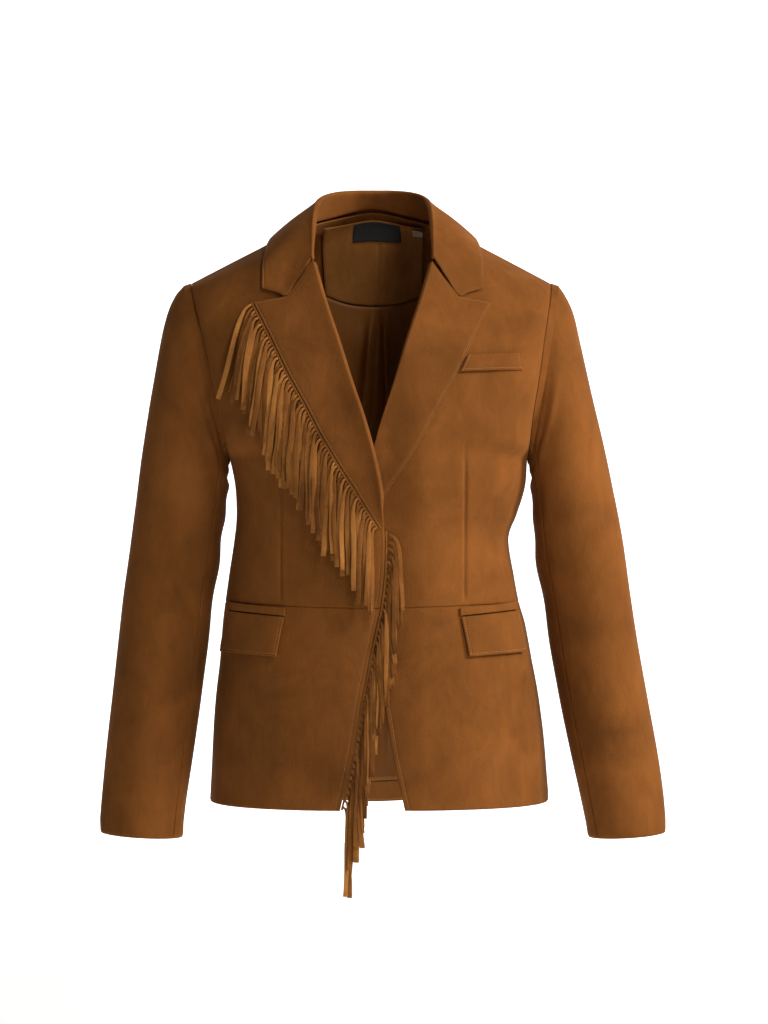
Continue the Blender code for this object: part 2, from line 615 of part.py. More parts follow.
def lapel_fringe(finish):
    """The fringe of the wearer's right lapel, from the peak down to the break."""
    number = np.linspace(len(LAPEL_EDGE) - 1, 0.08, 60)
    settings = FringeSettings(LAPEL_STRANDS, 100.0, 2.4, (9.0, 6.0, 3.5), LAPEL_STEPS, lapel_rise)
    return fringe("fringe_lapel", -column(LAPEL_EDGE, "x", number), column(LAPEL_EDGE, "z", number),
                  settings, finish)


def edge_fringe(finish):
    """The fringe of the wearer's right front edge, from the hem up to the break."""
    row = np.linspace(0.02, 7.3, 60)
    x = column(FRONT_ROWS, "inner", row)
    z = sheet_point(FRONT_ROWS, RIGHT, x, row)[..., 2]
    root = np.interp(np.linspace(0, 1, EDGE_STRANDS), np.linspace(0, 1, len(x)), -x)
    bends = 4.5 + np.maximum(EDGE_SPREAD * np.arange(EDGE_STRANDS) - (root - root[0]), 0.0)
    settings = FringeSettings(EDGE_STRANDS, 100.0, -0.8, bends, EDGE_STEPS, edge_rise)
    return fringe("fringe_front_edge", -x, z, settings, finish)


def pockets(finish):
    """The flap and welt of each hip pocket, and the breast welt on the wearer's left."""
    for side, word in ((RIGHT, "right"), (LEFT, "left")):
        welt = (Spot(94, -417), Spot(158, -412), Spot(158, -421), Spot(94, -426))
        patch_on_front(f"pocket_welt_{word}", side, welt, (9, 3), (2.6, 3.2, 3.2, 2.6), 1.9, finish)
        flap = (Spot(95, -426.8), Spot(159, -421.8), Spot(165, -467), Spot(103, -470))
        patch_on_front(f"pocket_flap_{word}", side, flap, (10, 6), (2.9, 3.4, 5.4, 4.6), FOLDED, finish)
    welt = (Spot(102.5, -143.5), Spot(161, -140), Spot(162, -159), Spot(93.8, -162))
    patch_on_front("breast_welt", LEFT, welt, (9, 3), (2.3, 2.3, 2.3, 2.3), 1.9, finish)


def neck_labels(label_finish, tag_finish):
    """The woven label and the size tag inside the back of the neck, both bare."""
    for name, middle, wide, high, drop, gap, finish in (
            ("neck_label", 4.4, 57.0, 22.0, 2.0, 1.0, label_finish),
            ("size_tag", 55.0, 12.0, 14.0, 1.0, 2.9, tag_finish)):
        x = middle + np.linspace(-wide / 2, wide / 2, 9)[None, :]
        per_row = 42.0
        top = neck_row(np.abs(x)) - 0.14 - drop / per_row
        row = top - np.linspace(1, 0, 4)[:, None] * high / per_row
        halves = [body_point(side, np.abs(x) + 0 * row, 2 * SHOULDER_ROW - row, -FACING_DEPTH - 0.8 - gap)
                  for side in (RIGHT, LEFT)]
        grid = np.where((x < 0)[..., None], *halves)
        cloth(name, grid, 0.8, finish, np.array([0.0, -1.0, 0.0]))


def clear_scene():
    """Remove the scene's objects and make the jacket's collection."""
    for old in list(bpy.data.objects):
        bpy.data.objects.remove(old)
    made = bpy.data.collections.new("fringed_jacket")
    bpy.context.scene.collection.children.link(made)


def build():
    """Make every piece of the jacket."""
    clear_scene()
    suede = material("suede", SUEDE_COLOUR, 0.95)
    fringe_suede = material("fringe_suede", FRINGE_COLOUR, 0.95)
    silk = material("lining_satin", LINING_COLOUR, 0.45)
    label = material("label_weave", LABEL_COLOUR, 0.8)
    tag = material("size_tag_tape", TAG_COLOUR, 0.8)
    seam = 0.006
    armhole = np.array([UNDERARM_ROW, 10.2, 10.55, 11.1, 11.7, 12.5, 13.3, 14.1, 14.9, 15.5, 16.0,
                        16.35, 16.7, SHOULDER_ROW])
    upper = np.concatenate([np.linspace(WAIST_ROW + seam, UNDERARM_ROW, 8)[:-1], armhole])
    skirt = np.linspace(0.0, WAIST_ROW - seam, 7)
    upper[-1] -= seam
    for side, word in ((RIGHT, "right"), (LEFT, "left")):
        front_panel(f"front_{word}", side, upper, suede)
        front_panel(f"front_skirt_{word}", side, skirt, suede)
        back_panel(f"back_{word}", side, upper, suede)
        back_panel(f"back_skirt_{word}", side, skirt, suede)
        sleeve_piece(f"top_sleeve_{word}", side, armhole[3:], True, suede)
        sleeve_piece(f"under_sleeve_{word}", side, armhole[:4], False, suede)
        lapel(f"lapel_{word}", side, suede)
    collar(suede)
    pockets(suede)
    lapel_fringe(fringe_suede)
    edge_fringe(fringe_suede)
    inside_of_back(suede, silk)
    neck_labels(label, tag)


build()
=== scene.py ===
"""Looks of a fringed suede jacket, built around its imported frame.

Sizes are in millimetres and are turned to metres where a mesh is made. +X is the wearer's left,
-Y the front and +Z up, and the origin lies between the shoulders, level with the neck.
"""
import logging
from dataclasses import dataclass
from enum import Enum
from typing import Callable, Sequence

import bpy
import numpy as np
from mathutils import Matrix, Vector

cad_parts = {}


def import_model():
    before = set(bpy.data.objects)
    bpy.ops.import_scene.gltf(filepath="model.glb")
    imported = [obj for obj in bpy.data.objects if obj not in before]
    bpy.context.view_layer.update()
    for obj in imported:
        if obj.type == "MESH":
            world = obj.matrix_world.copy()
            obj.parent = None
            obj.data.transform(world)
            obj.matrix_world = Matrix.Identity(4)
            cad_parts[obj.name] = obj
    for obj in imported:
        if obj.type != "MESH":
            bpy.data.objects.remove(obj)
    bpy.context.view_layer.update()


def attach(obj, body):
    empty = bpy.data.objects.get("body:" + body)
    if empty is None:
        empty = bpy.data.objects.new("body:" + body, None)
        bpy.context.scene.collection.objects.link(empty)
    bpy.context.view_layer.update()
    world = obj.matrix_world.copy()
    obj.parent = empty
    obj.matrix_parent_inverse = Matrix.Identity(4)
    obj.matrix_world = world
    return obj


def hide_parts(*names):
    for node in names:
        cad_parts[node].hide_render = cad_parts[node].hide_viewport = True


LOG = logging.getLogger("fringed_jacket")
MILLIMETRE = 0.001
DRESSED = "_dressed"
EDGE_NAMES = ("first_row", "last_row", "first_column", "last_column")
LEVEL = np.array([1.0, 1.0, 0.0])
UP = np.array([0.0, 0.0, 1.0])
FORWARD = np.array([0.0, -1.0, 0.0])
NEARLY_NONE = 1e-9
Grid = np.ndarray


class Side(Enum):
    """A side of the wearer, by the sign of its X."""

    RIGHT = -1.0
    LEFT = 1.0

    @property
    def word(self) -> str:
        """The side's name as the frame's nodes have it."""
        return self.name.lower()


class Held(Enum):
    STRETCHED = "stretched"
    HUNG = "hung"
    FOLDED = "folded"


# Curves and tables


@dataclass(frozen=True)
class FrontRow:
    """A level section of the front: its middle, its end at the side, its widths and its own edge."""

    mid_z: float
    mid_y: float
    edge_z: float
    edge_y: float
    half_right: float
    half_left: float
    inner: float


@dataclass(frozen=True)
class BackRow:
    """A level section of the back: its middle, its end at the side and its widths."""

    mid_z: float
    mid_y: float
    edge_z: float
    edge_y: float
    half_right: float
    half_left: float


@dataclass(frozen=True)
class Ring:
    """A ring of a sleeve: its outer and inner point seen from the front, and its depth."""

    outer_x: float
    outer_z: float
    inner_x: float
    inner_z: float
    mid_y: float
    half_depth: float


@dataclass(frozen=True)
class Spot:
    """A place on the front: distance from the middle, and height."""

    x: float
    z: float


@dataclass(frozen=True)
class Station:
    """A station of the collar: its fold, its outer edge and its neck seam."""

    fold_x: float
    fold_y: float
    fold_z: float
    edge_x: float
    edge_row: float
    seam_x: float
    seam_row: float


FRONT_ROWS = (
    FrontRow(-633, -128, -634, 6, 182.0, 196.0, 35), FrontRow(-574, -125, -572, 6, 179.0, 191.0, 22),
    FrontRow(-519, -120, -518, 6, 175.5, 185.0, 13), FrontRow(-478, -114, -478, 5, 171.0, 177.5, 5),
    FrontRow(-439, -109, -438, 5, 168.0, 170.0, -3), FrontRow(-417, -105, -413, 5, 165.0, 163.0, -8),
    FrontRow(-384, -102, -384, 5, 161.0, 157.5, -12), FrontRow(-344, -100, -344, 5, 155.0, 151.5, -13),
    FrontRow(-314, -104, -315, 5, 152.5, 161.0, -10), FrontRow(-283, -112, -285, 5, 154.0, 170.0, -7),
    FrontRow(-250, -118, -257, 5, 159.0, 172.0, 0), FrontRow(-213, -118, -240, -30, 162.0, 173.0, 10),
    FrontRow(-173, -112, -205, -50, 168.0, 176.0, 23), FrontRow(-126, -101, -160, -56, 177.0, 183.0, 37),
    FrontRow(-77, -85, -118, -52, 187.0, 189.0, 52), FrontRow(-27, -66, -86, -38, 196.0, 194.5, 64),
    FrontRow(2, -42, -66, -18, 201.0, 197.5, 71), FrontRow(36, 8, -57, 6, 203.0, 198.5, 78),
)
BACK_ROWS = (
    BackRow(-650, 128, -634, 6, 182.0, 196.0), BackRow(-588, 127, -572, 6, 179.0, 191.0),
    BackRow(-527, 123, -518, 6, 175.5, 185.0), BackRow(-482, 117, -478, 5, 171.0, 177.5),
    BackRow(-440, 110, -438, 5, 168.0, 170.0), BackRow(-417, 104, -413, 5, 165.0, 163.0),
    BackRow(-383, 99, -384, 5, 161.0, 157.5), BackRow(-342, 93, -344, 5, 155.0, 151.5),
    BackRow(-312, 94, -315, 5, 152.5, 161.0), BackRow(-281, 99, -285, 5, 154.0, 170.0),
    BackRow(-248, 107, -257, 5, 159.0, 172.0), BackRow(-204, 114, -240, 34, 160.5, 172.0),
    BackRow(-156, 118, -205, 52, 166.0, 174.0), BackRow(-108, 118, -160, 60, 175.0, 181.0),
    BackRow(-60, 113, -118, 56, 185.5, 187.5), BackRow(-14, 103, -86, 44, 195.0, 194.0),
    BackRow(31, 84, -66, 24, 201.0, 197.5), BackRow(36, 8, -57, 6, 203.0, 198.5),
)
RIGHT_RINGS = (
    Ring(211, -60, 161.5, -261, 4, 57), Ring(221, -72, 161.5, -267, 4, 58),
    Ring(230, -92, 161.5, -274, 5, 58.5), Ring(238, -125, 161.5, -283, 6, 58.5),
    Ring(247, -175, 162.5, -295, 7, 58), Ring(256, -232, 165.0, -317, 8, 57),
    Ring(263.5, -285, 169.0, -344, 9, 55), Ring(271.5, -345, 174.0, -378, 10, 53),
    Ring(279.5, -405, 181.0, -422, 9, 51), Ring(285.5, -462, 186.5, -473, 4, 49),
    Ring(290.5, -518, 192.5, -528, -4, 47), Ring(295, -572, 199.0, -580, -13, 45),
    Ring(299, -624, 205.5, -631, -22, 43), Ring(301.5, -666, 210.0, -672, -29, 41),
)
LEFT_RINGS = (
    Ring(207, -60, 174.5, -261, 4, 57), Ring(215, -72, 175.5, -267, 4, 58),
    Ring(224, -92, 176.0, -274, 5, 58.5), Ring(231.5, -125, 176.5, -283, 6, 58.5),
    Ring(243, -175, 177.0, -295, 7, 58), Ring(257, -232, 179.0, -317, 8, 57),
    Ring(268, -285, 180.5, -344, 9, 55), Ring(280, -345, 185.0, -378, 10, 53),
    Ring(289, -405, 193.0, -422, 9, 51), Ring(297.5, -462, 200.5, -473, 4, 49),
    Ring(306.5, -518, 209.5, -528, -4, 47), Ring(315, -572, 219.5, -580, -13, 45),
    Ring(321, -624, 230.0, -631, -22, 43), Ring(324, -666, 238.0, -672, -29, 41),
)
LAPEL_EDGE = (
    Spot(-7.5, -331), Spot(4, -312), Spot(18, -289), Spot(36, -261), Spot(54, -231),
    Spot(72, -197), Spot(91, -163), Spot(110, -124), Spot(130, -85),
)
COLLAR = (
    Station(0, 74, 51.5, 0, 18.62, 0, 18.0), Station(22, 71, 51.0, 27, 18.60, 24, 17.97),
    Station(42, 59, 48.0, 56, 18.48, 48, 17.80), Station(56, 37, 41.5, 86, 18.05, 67, 17.45),
    Station(63, 9, 32.0, 113, 17.00, 77, 17.0), Station(65.5, -20, 16.0, 119, 15.95, 73, 16.35),
    Station(66.5, -45, -5.0, 120.5, 15.32, 69, 15.70), Station(66.5, -69, -37.0, 120.4, 14.73, 65.5, 15.10),
)


def smooth(share: Grid) -> Grid:
    """Ease from 0 to 1: 3 t squared less 2 t cubed."""
    share = np.clip(share, 0.0, 1.0)
    return share * share * (3.0 - 2.0 * share)


def bump(distance: Grid, width: float) -> Grid:
    """A bell over a distance: e to the minus (distance / width) squared."""
    return np.exp(-(distance / width) ** 2)


def through(values: Sequence[float], at: Grid) -> Grid:
    """A smooth curve through evenly numbered values that never runs past them.

    Args:
        values: The heights of the curve at 0, 1, 2 and so on.
        at: The numbers to read it at.

    Returns:
        The curve's height at each number: a cubic between each two values, level at each peak.
    """
    v = np.asarray(values, float)
    at = np.clip(np.asarray(at, float), 0.0, len(v) - 1.0)
    low = np.minimum(at.astype(int), len(v) - 2)
    t = at - low
    step = np.diff(v)
    inside = np.where(step[:-1] * step[1:] > 0, (step[:-1] + step[1:]) / 2, 0.0)
    slope = np.concatenate([step[:1], inside, step[-1:]])
    start, end = v[low], v[low + 1]
    eased = start + (end - start) * t * t * (3.0 - 2.0 * t)
    return eased + t * (1.0 - t) * (slope[low] * (1.0 - t) - slope[low + 1] * t)


def column(rows: Sequence, name: str, at: Grid) -> Grid:
    """One named column of a table, read at fractional row numbers."""
    return through([getattr(row, name) for row in rows], at)


def normals_of(grid: Grid) -> Grid:
    """Unit normals of a grid of points: the cross product of its two gradients."""
    normal = np.cross(np.gradient(grid, axis=1), np.gradient(grid, axis=0))
    return normal / (np.linalg.norm(normal, axis=-1, keepdims=True) + NEARLY_NONE)


def facing(grid: Grid, outward: Grid) -> Grid:
    """A grid's unit normals, all turned to the side that a rough direction points to."""
    normal = normals_of(grid)
    return normal * np.sign((normal * outward).sum(-1).mean())


def from_axis(grid: Grid) -> Grid:
    """Directions from the body's upright axis to each point."""
    return grid * LEVEL


def edge_distances(grid: Grid) -> tuple[Grid, Grid, Grid, Grid]:
    """How far each point lies from a grid's four edges, along its own rows and columns.

    Args:
        grid: Rows by columns by three coordinates.

    Returns:
        Distances from the first row, the last row, the first column and the last column.
    """
    down = np.linalg.norm(np.diff(grid, axis=0), axis=-1)
    across = np.linalg.norm(np.diff(grid, axis=1), axis=-1)
    from_first_row = np.concatenate([np.zeros((1, grid.shape[1])), np.cumsum(down, 0)], 0)
    from_first_column = np.concatenate([np.zeros((grid.shape[0], 1)), np.cumsum(across, 1)], 1)
    return (from_first_row, from_first_row[-1:] - from_first_row,
            from_first_column, from_first_column[:, -1:] - from_first_column)


@dataclass(frozen=True)
class BodyForm:
    """The body of the jacket as a surface: sections from hem to shoulder, filled out as when worn."""

    roundness: float = 2.25
    middle_bend: float = 0.15
    waist_row: float = 5.0
    underarm_row: float = 10.0
    nape_row: float = 16.0
    shoulder_row: float = 17.0
    neck_half: float = 78.0
    neck_slope: float = 2.6
    tuck: float = 6.5
    lap_end: float = 58.0
    lap_ease: float = 44.0
    lap_top_row: float = 14.0
    lap_top_ease: float = 3.0
    side_seam_share: float = 1 - 9e-7

    def half_width(self, rows: Sequence, side: Side, at: Grid) -> Grid:
        """Distance from the middle to the side seam or armhole."""
        return column(rows, f"half_{side.word}", at)

    def sheet_point(self, rows: Sequence, side: Side, x: Grid, at: Grid) -> Grid:
        """A point of the front's or back's outer face.

        The section is an oval of raised exponent between the middle and the side.

        Args:
            rows: The front's or the back's table.
            side: The wearer's side.
            x: Distance from the middle towards that side.
            at: Fractional row number.

        Returns:
            Points, in millimetres.
        """
        share = np.clip(np.abs(x) / self.half_width(rows, side, at), 0.0, 1.0)
        rise = (1.0 - share ** self.roundness) ** (1.0 / self.roundness)
        edge_y, mid_y = column(rows, "edge_y", at), column(rows, "mid_y", at)
        edge_z, mid_z = column(rows, "edge_z", at), column(rows, "mid_z", at)
        bend = self.middle_bend
        fall = (np.hypot(share, bend) - bend) / (np.hypot(1.0, bend) - bend)
        return np.stack(np.broadcast_arrays(
            side.value * x, edge_y + (mid_y - edge_y) * rise, mid_z + (edge_z - mid_z) * fall), -1)

    def on_face(self, side: Side, x: Grid, row: Grid) -> Grid:
        """A point at a row counted up the front and, past the shoulder seam, down the back."""
        top = self.shoulder_row
        ahead = self.sheet_point(FRONT_ROWS, side, x, np.minimum(row, top))
        behind = self.sheet_point(BACK_ROWS, side, x, np.minimum(2 * top - row, top))
        return np.where((row <= top)[..., None], ahead, behind)

    def point(self, side: Side, x: Grid, row: Grid, lift: Grid = 0.0) -> Grid:
        """A point of the body, moved out along its face's normal.

        Args:
            side: The wearer's side.
            x: Distance from the middle.
            row: Row counted up the front and down the back.
            lift: How far to move out, or in where it is negative.

        Returns:
            Points, in millimetres.
        """
        x, row = np.broadcast_arrays(np.asarray(x, float), np.asarray(row, float))
        step_x, step_row = 1.5, 0.06
        across = self.on_face(side, x + step_x, row) - self.on_face(side, x - step_x, row)
        along = self.on_face(side, x, row + step_row) - self.on_face(side, x, row - step_row)
        normal = side.value * np.cross(across, along)
        normal /= np.linalg.norm(normal, axis=-1, keepdims=True) + NEARLY_NONE
        return self.on_face(side, x, row) + normal * np.asarray(lift)[..., None]

    def row_at(self, side: Side, x: Grid, z: Grid) -> Grid:
        """The front's row through a distance from the middle and a height, found by halving."""
        x, z = np.broadcast_arrays(np.asarray(x, float), np.asarray(z, float))
        low, high = np.zeros(x.shape), np.full(x.shape, self.shoulder_row)
        for _ in range(26):
            middle = (low + high) / 2
            below = self.sheet_point(FRONT_ROWS, side, x, middle)[..., 2] < z
            low, high = np.where(below, middle, low), np.where(below, high, middle)
        return (low + high) / 2

    def on_front(self, side: Side, x: Grid, z: Grid, lift: Grid) -> Grid:
        """A point over a front at a distance from the middle and a height."""
        return self.point(side, x, self.row_at(side, x, z), lift)

    def tucked(self, side: Side, x: Grid, row: Grid) -> Grid:
        """How far the wearer's left front lies in behind the right one where they lap."""
        if side is Side.RIGHT:
            return np.zeros(np.broadcast(x, row).shape)
        across = smooth((self.lap_end - x) / self.lap_ease)
        return self.tuck * across * smooth((self.lap_top_row - row) / self.lap_top_ease)

    def neck_row(self, x: Grid) -> Grid:
        """The back's top row: the shoulder seam, and the scooped neckline between its neck ends."""
        share = np.clip(x / self.neck_half, 0.0, 1.0)
        return self.nape_row + (self.shoulder_row - self.nape_row) * share ** self.neck_slope


FORM = BodyForm()


# Meshes and declarations


def add_mesh(name: str, points: Grid, faces: Grid, material: bpy.types.Material,
             around: Grid | None = None) -> bpy.types.Object:
    """Put a mesh given in millimetres in the scene.

    Args:
        name: The piece's name.
        points: Its points, flattened to a list of triples.
        faces: Its faces, all of one size, as rows of point numbers.
        material: Its finish.
        around: For each point, two lengths along the cloth in millimetres, kept as a UV map.

    Returns:
        The new object, at the origin.
    """
    mesh = bpy.data.meshes.new(name)
    size = faces.shape[1]
    mesh.vertices.add(len(points))
    mesh.vertices.foreach_set("co", (points * MILLIMETRE).astype(np.float32).ravel())
    mesh.loops.add(faces.size)
    mesh.loops.foreach_set("vertex_index", faces.astype(np.int32).ravel())
    mesh.polygons.add(len(faces))
    mesh.polygons.foreach_set("loop_start", np.arange(0, faces.size, size, dtype=np.int32))
    mesh.update(calc_edges=True)
    mesh.validate()
    if around is not None:
        layer = mesh.uv_layers.new(name="cloth")
        layer.data.foreach_set("uv", (around[faces.ravel()] * MILLIMETRE).astype(np.float32).ravel())
    mesh.materials.append(material)
    mesh.shade_smooth()
    made = bpy.data.objects.new(name, mesh)
    bpy.context.scene.collection.objects.link(made)
    return made


def wall_faces(rows: int, columns: int) -> Grid:
    """Quads of a closed wall between two grids of points, outer then inner, and its rim."""
    size = rows * columns
    number = np.arange(size).reshape(rows, columns)
    a, b, c, d = number[:-1, :-1], number[:-1, 1:], number[1:, 1:], number[1:, :-1]
    skin = np.stack([a, b, c, d], -1).reshape(-1, 4)
    ring = np.concatenate([number[0, :-1], number[:-1, -1], number[-1, :0:-1], number[:0:-1, 0]])
    ahead = np.roll(ring, -1)
    rim = np.stack([ahead, ring, ring + size, ahead + size], -1)
    return np.concatenate([skin, skin[:, ::-1] + size, rim])


def wall(name: str, outer: Grid, inner: Grid, material: bpy.types.Material,
         outward: Grid) -> bpy.types.Object:
    """A closed wall of cloth between the grids of its outer and its inner face."""
    if (normals_of(outer) * outward).sum(-1).mean() < 0:
        outer, inner = outer[:, ::-1], inner[:, ::-1]
    rows, columns = outer.shape[:2]
    first_row, _, first_column, _ = edge_distances(outer)
    along = np.stack([first_column, first_row], -1).reshape(-1, 2)
    points = np.concatenate([outer.reshape(-1, 3), inner.reshape(-1, 3)])
    return add_mesh(name, points, wall_faces(rows, columns), material, np.concatenate([along, along]))


@dataclass(frozen=True)
class Edges:
    """How a wall of cloth ends on each of its four edges: the radius that rounds it off, or 0.

    A free edge is rounded from both faces, and an edge that is sewn dips on the outer face alone.
    """

    first_row: float = 0.0
    last_row: float = 0.0
    first_column: float = 0.0
    last_column: float = 0.0
    sewn: tuple[str, ...] = ()
    dip: float = 0.7
    free_share: float = 0.46
    most_taken: float = 0.92

    def rounding(self, grid: Grid, thickness: float) -> tuple[Grid, Grid]:
        """How far the outer and the inner face come in, as a quarter round at each edge."""
        outer, inner = np.zeros(grid.shape[:2]), np.zeros(grid.shape[:2])
        for name, distance in zip(EDGE_NAMES, edge_distances(grid)):
            radius = getattr(self, name)
            if radius > 0:
                near = 1.0 - np.clip(distance / radius, 0.0, 1.0)
                rounded = (1.0 - np.sqrt(1.0 - near ** 2)) * thickness
                is_sewn = name in self.sewn
                outer = np.maximum(outer, rounded * (self.dip if is_sewn else self.free_share))
                inner = inner if is_sewn else np.maximum(inner, rounded * self.free_share)
        return outer, np.minimum(inner, self.most_taken * thickness - outer)


def cloth(name: str, grid: Grid, thickness: float, material: bpy.types.Material, outward: Grid,
          edges: Edges = Edges()) -> bpy.types.Object:
    """A wall of cloth under an outer face, with its edges rounded off.

    Args:
        name: The frame's node that it stands for.
        grid: The outer face.
        thickness: The wall's thickness.
        material: Its finish.
        outward: A rough direction that the outer face looks in.
        edges: The radius at each edge.

    Returns:
        The new object.
    """
    normal = facing(grid, outward)
    outer_inset, inner_inset = (inset[..., None] for inset in edges.rounding(grid, thickness))
    inner = grid - normal * (thickness - inner_inset)
    return wall(name + DRESSED, grid - normal * outer_inset, inner, material, outward)


def declare(piece: bpy.types.Object, grid: Grid) -> bpy.types.Object:
    """Ride and replace: the piece rides on the root, and the frame's node that it stands for is hidden.

    Args:
        piece: The cloth, named for the frame's node that it stands for.
        grid: Its outer face; not used.

    Returns:
        The same piece.
    """
    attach(piece, "root")
    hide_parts(piece.name.removesuffix(DRESSED))
    return piece


# Finishes


def linear(colour: str) -> tuple[float, float, float, float]:
    """An sRGB hex colour as linear red, green, blue and alpha."""
    parts = np.array([int(colour[n:n + 2], 16) / 255 for n in (1, 3, 5)])
    low, high = parts / 12.92, ((parts + 0.055) / 1.055) ** 2.4
    return (*np.where(parts <= 0.04045, low, high).tolist(), 1.0)


def add_node(tree: bpy.types.NodeTree, kind: str, settings: dict | None = None,
             links: dict | None = None) -> bpy.types.Node:
    """Add one node with its settings and its links.

    Args:
        tree: The material's tree.
        kind: The node's type.
        settings: Values by socket name or number, or by the node's own attribute.
        links: Output sockets to join, by input name or number.

    Returns:
        The new node.
    """
    node = tree.nodes.new(kind)
    for key, value in (settings or {}).items():
        if isinstance(key, str) and hasattr(node, key):
            setattr(node, key, value)
    for key, value in (settings or {}).items():
        if not (isinstance(key, str) and hasattr(node, key)):
            node.inputs[key].default_value = value
    for key, source in (links or {}).items():
        tree.links.new(source, node.inputs[key])
    return node


def blank_material(name: str) -> tuple[bpy.types.Material, bpy.types.NodeTree, bpy.types.Node]:
    """An empty material, its tree and its Principled shader, joined to the output."""
    made = bpy.data.materials.new(name)
    made.use_nodes = True
    tree = made.node_tree
    tree.nodes.clear()
    shader = add_node(tree, "ShaderNodeBsdfPrincipled")
    add_node(tree, "ShaderNodeOutputMaterial", links={"Surface": shader.outputs["BSDF"]})
    return made, tree, shader


@dataclass(frozen=True)
class Suede:
    """Goat suede, dyed through and brushed: a dull nap that is paler or darker as it lies.

    The nap gives a soft bright rim at grazing angles, no gloss, and cloudy patches where it was
    stroked this way or that. The grain is drawn at 1.4 mm, coarser than real nap, so that it shows.
    """

    name: str
    deep: str = "#603814"
    body: str = "#77461b"
    brushed: str = "#895223"
    rim: str = "#b07c46"
    patch_mm: float = 80.0
    stroke_mm: float = 16.0
    grain_mm: float = 1.4
    strand_share: float = 0.0
    roughness: float = 0.93
    specular: float = 0.12
    sheen: float = 0.28
    sheen_roughness: float = 0.42
    stroke_relief: float = 0.0012
    grain_relief: float = 0.0006

    def make(self) -> bpy.types.Material:
        """The material: three sizes of noise make the shade, and the finest two the relief."""
        made, tree, shader = blank_material(self.name)
        place = add_node(tree, "ShaderNodeTexCoord").outputs["Object"]
        stretched = add_node(tree, "ShaderNodeMapping", {"Scale": (1.0, 1.0, 0.45)}, {"Vector": place})
        patches = add_node(tree, "ShaderNodeTexNoise", {
            "Scale": 1000 / self.patch_mm, "Detail": 3.0, "Roughness": 0.55, "Distortion": 0.5},
            {"Vector": place})
        strokes = add_node(tree, "ShaderNodeTexNoise", {
            "Scale": 1000 / self.stroke_mm, "Detail": 4.0, "Roughness": 0.6, "Distortion": 0.8},
            {"Vector": stretched.outputs["Vector"]})
        grain = add_node(tree, "ShaderNodeTexNoise", {
            "Scale": 1000 / self.grain_mm, "Detail": 3.0, "Roughness": 0.7}, {"Vector": place})
        cloudy = add_node(tree, "ShaderNodeMath", {"operation": "MULTIPLY_ADD", 1: 0.5},
                          {0: strokes.outputs["Fac"], 2: patches.outputs["Fac"]})
        shade = add_node(tree, "ShaderNodeMath", {"operation": "MULTIPLY_ADD", 1: 0.42},
                         {0: grain.outputs["Fac"], 2: cloudy.outputs["Value"]})
        if self.strand_share:
            strand = add_node(tree, "ShaderNodeAttribute", {"attribute_name": "strand"})
            shade = add_node(tree, "ShaderNodeMath", {"operation": "MULTIPLY_ADD", 1: self.strand_share},
                             {0: strand.outputs["Fac"], 2: shade.outputs["Value"]})
        spread = add_node(tree, "ShaderNodeMapRange", {"From Min": 0.58, "From Max": 1.34},
                          {"Value": shade.outputs["Value"]})
        ramp = add_node(tree, "ShaderNodeValToRGB", links={"Fac": spread.outputs["Result"]})
        ramp.color_ramp.elements[0].color = linear(self.deep)
        ramp.color_ramp.elements[1].color = linear(self.brushed)
        middle = ramp.color_ramp.elements.new(0.5)
        middle.color = linear(self.body)
        low = add_node(tree, "ShaderNodeBump", {"Strength": 0.35, "Distance": self.stroke_relief},
                       {"Height": strokes.outputs["Fac"]})
        fine = add_node(tree, "ShaderNodeBump", {"Strength": 0.45, "Distance": self.grain_relief},
                        {"Height": grain.outputs["Fac"], "Normal": low.outputs["Normal"]})
        shader.inputs["Roughness"].default_value = self.roughness
        shader.inputs["Specular IOR Level"].default_value = self.specular
        shader.inputs["Sheen Weight"].default_value = self.sheen
        shader.inputs["Sheen Roughness"].default_value = self.sheen_roughness
        shader.inputs["Sheen Tint"].default_value = linear(self.rim)
        tree.links.new(ramp.outputs["Color"], shader.inputs["Base Color"])
        tree.links.new(fine.outputs["Normal"], shader.inputs["Normal"])
        return made


@dataclass(frozen=True)
class Satin:
    """Polyester satin lining: long floats that shine softly, and the cloth's small waves, painted into its
    colour as streaks of painted sheen and painted shade.

    The floats are drawn 1.6 mm apart along the cloth, coarser than real, so that they show."""

    name: str = "lining_satin"
    deep: str = "#54300f"
    lit: str = "#8e5824"
    float_mm: float = 1.6
    wave_mm: float = 30.0
    roughness: float = 0.46
    specular: float = 0.14
    relief: float = 0.0008

    def make(self) -> bpy.types.Material:
        """The material: fine lines along the cloth over slow waves, painted as sheen and shade between the
        deep and the lit colour.
        """
        made, tree, shader = blank_material(self.name)
        place = add_node(tree, "ShaderNodeTexCoord").outputs["Object"]
        along = add_node(tree, "ShaderNodeMapping", {"Scale": (1.0, 1.0, 0.06)}, {"Vector": place})
        floats = add_node(tree, "ShaderNodeTexNoise", {"Scale": 1000 / self.float_mm, "Detail": 2.0},
                          {"Vector": along.outputs["Vector"]})
        waves = add_node(tree, "ShaderNodeTexNoise", {"Scale": 1000 / self.wave_mm, "Detail": 2.0},
                         {"Vector": along.outputs["Vector"]})
        both = add_node(tree, "ShaderNodeMath", {"operation": "MULTIPLY_ADD", 1: 0.35},
                        {0: floats.outputs["Fac"], 2: waves.outputs["Fac"]})
        # deep is painted shade and lit is painted sheen of the lining, streaked along the cloth by the floats
        # and the waves.
        shades = {"data_type": "RGBA", 6: linear(self.deep), 7: linear(self.lit)}
        tint = add_node(tree, "ShaderNodeMix", shades, {0: both.outputs["Value"]})
        relief = add_node(tree, "ShaderNodeBump", {"Strength": 0.3, "Distance": self.relief},
                          {"Height": both.outputs["Value"]})
        shader.inputs["Roughness"].default_value = self.roughness
        shader.inputs["Specular IOR Level"].default_value = self.specular
        tree.links.new(tint.outputs[2], shader.inputs["Base Color"])
        tree.links.new(relief.outputs["Normal"], shader.inputs["Normal"])
        return made


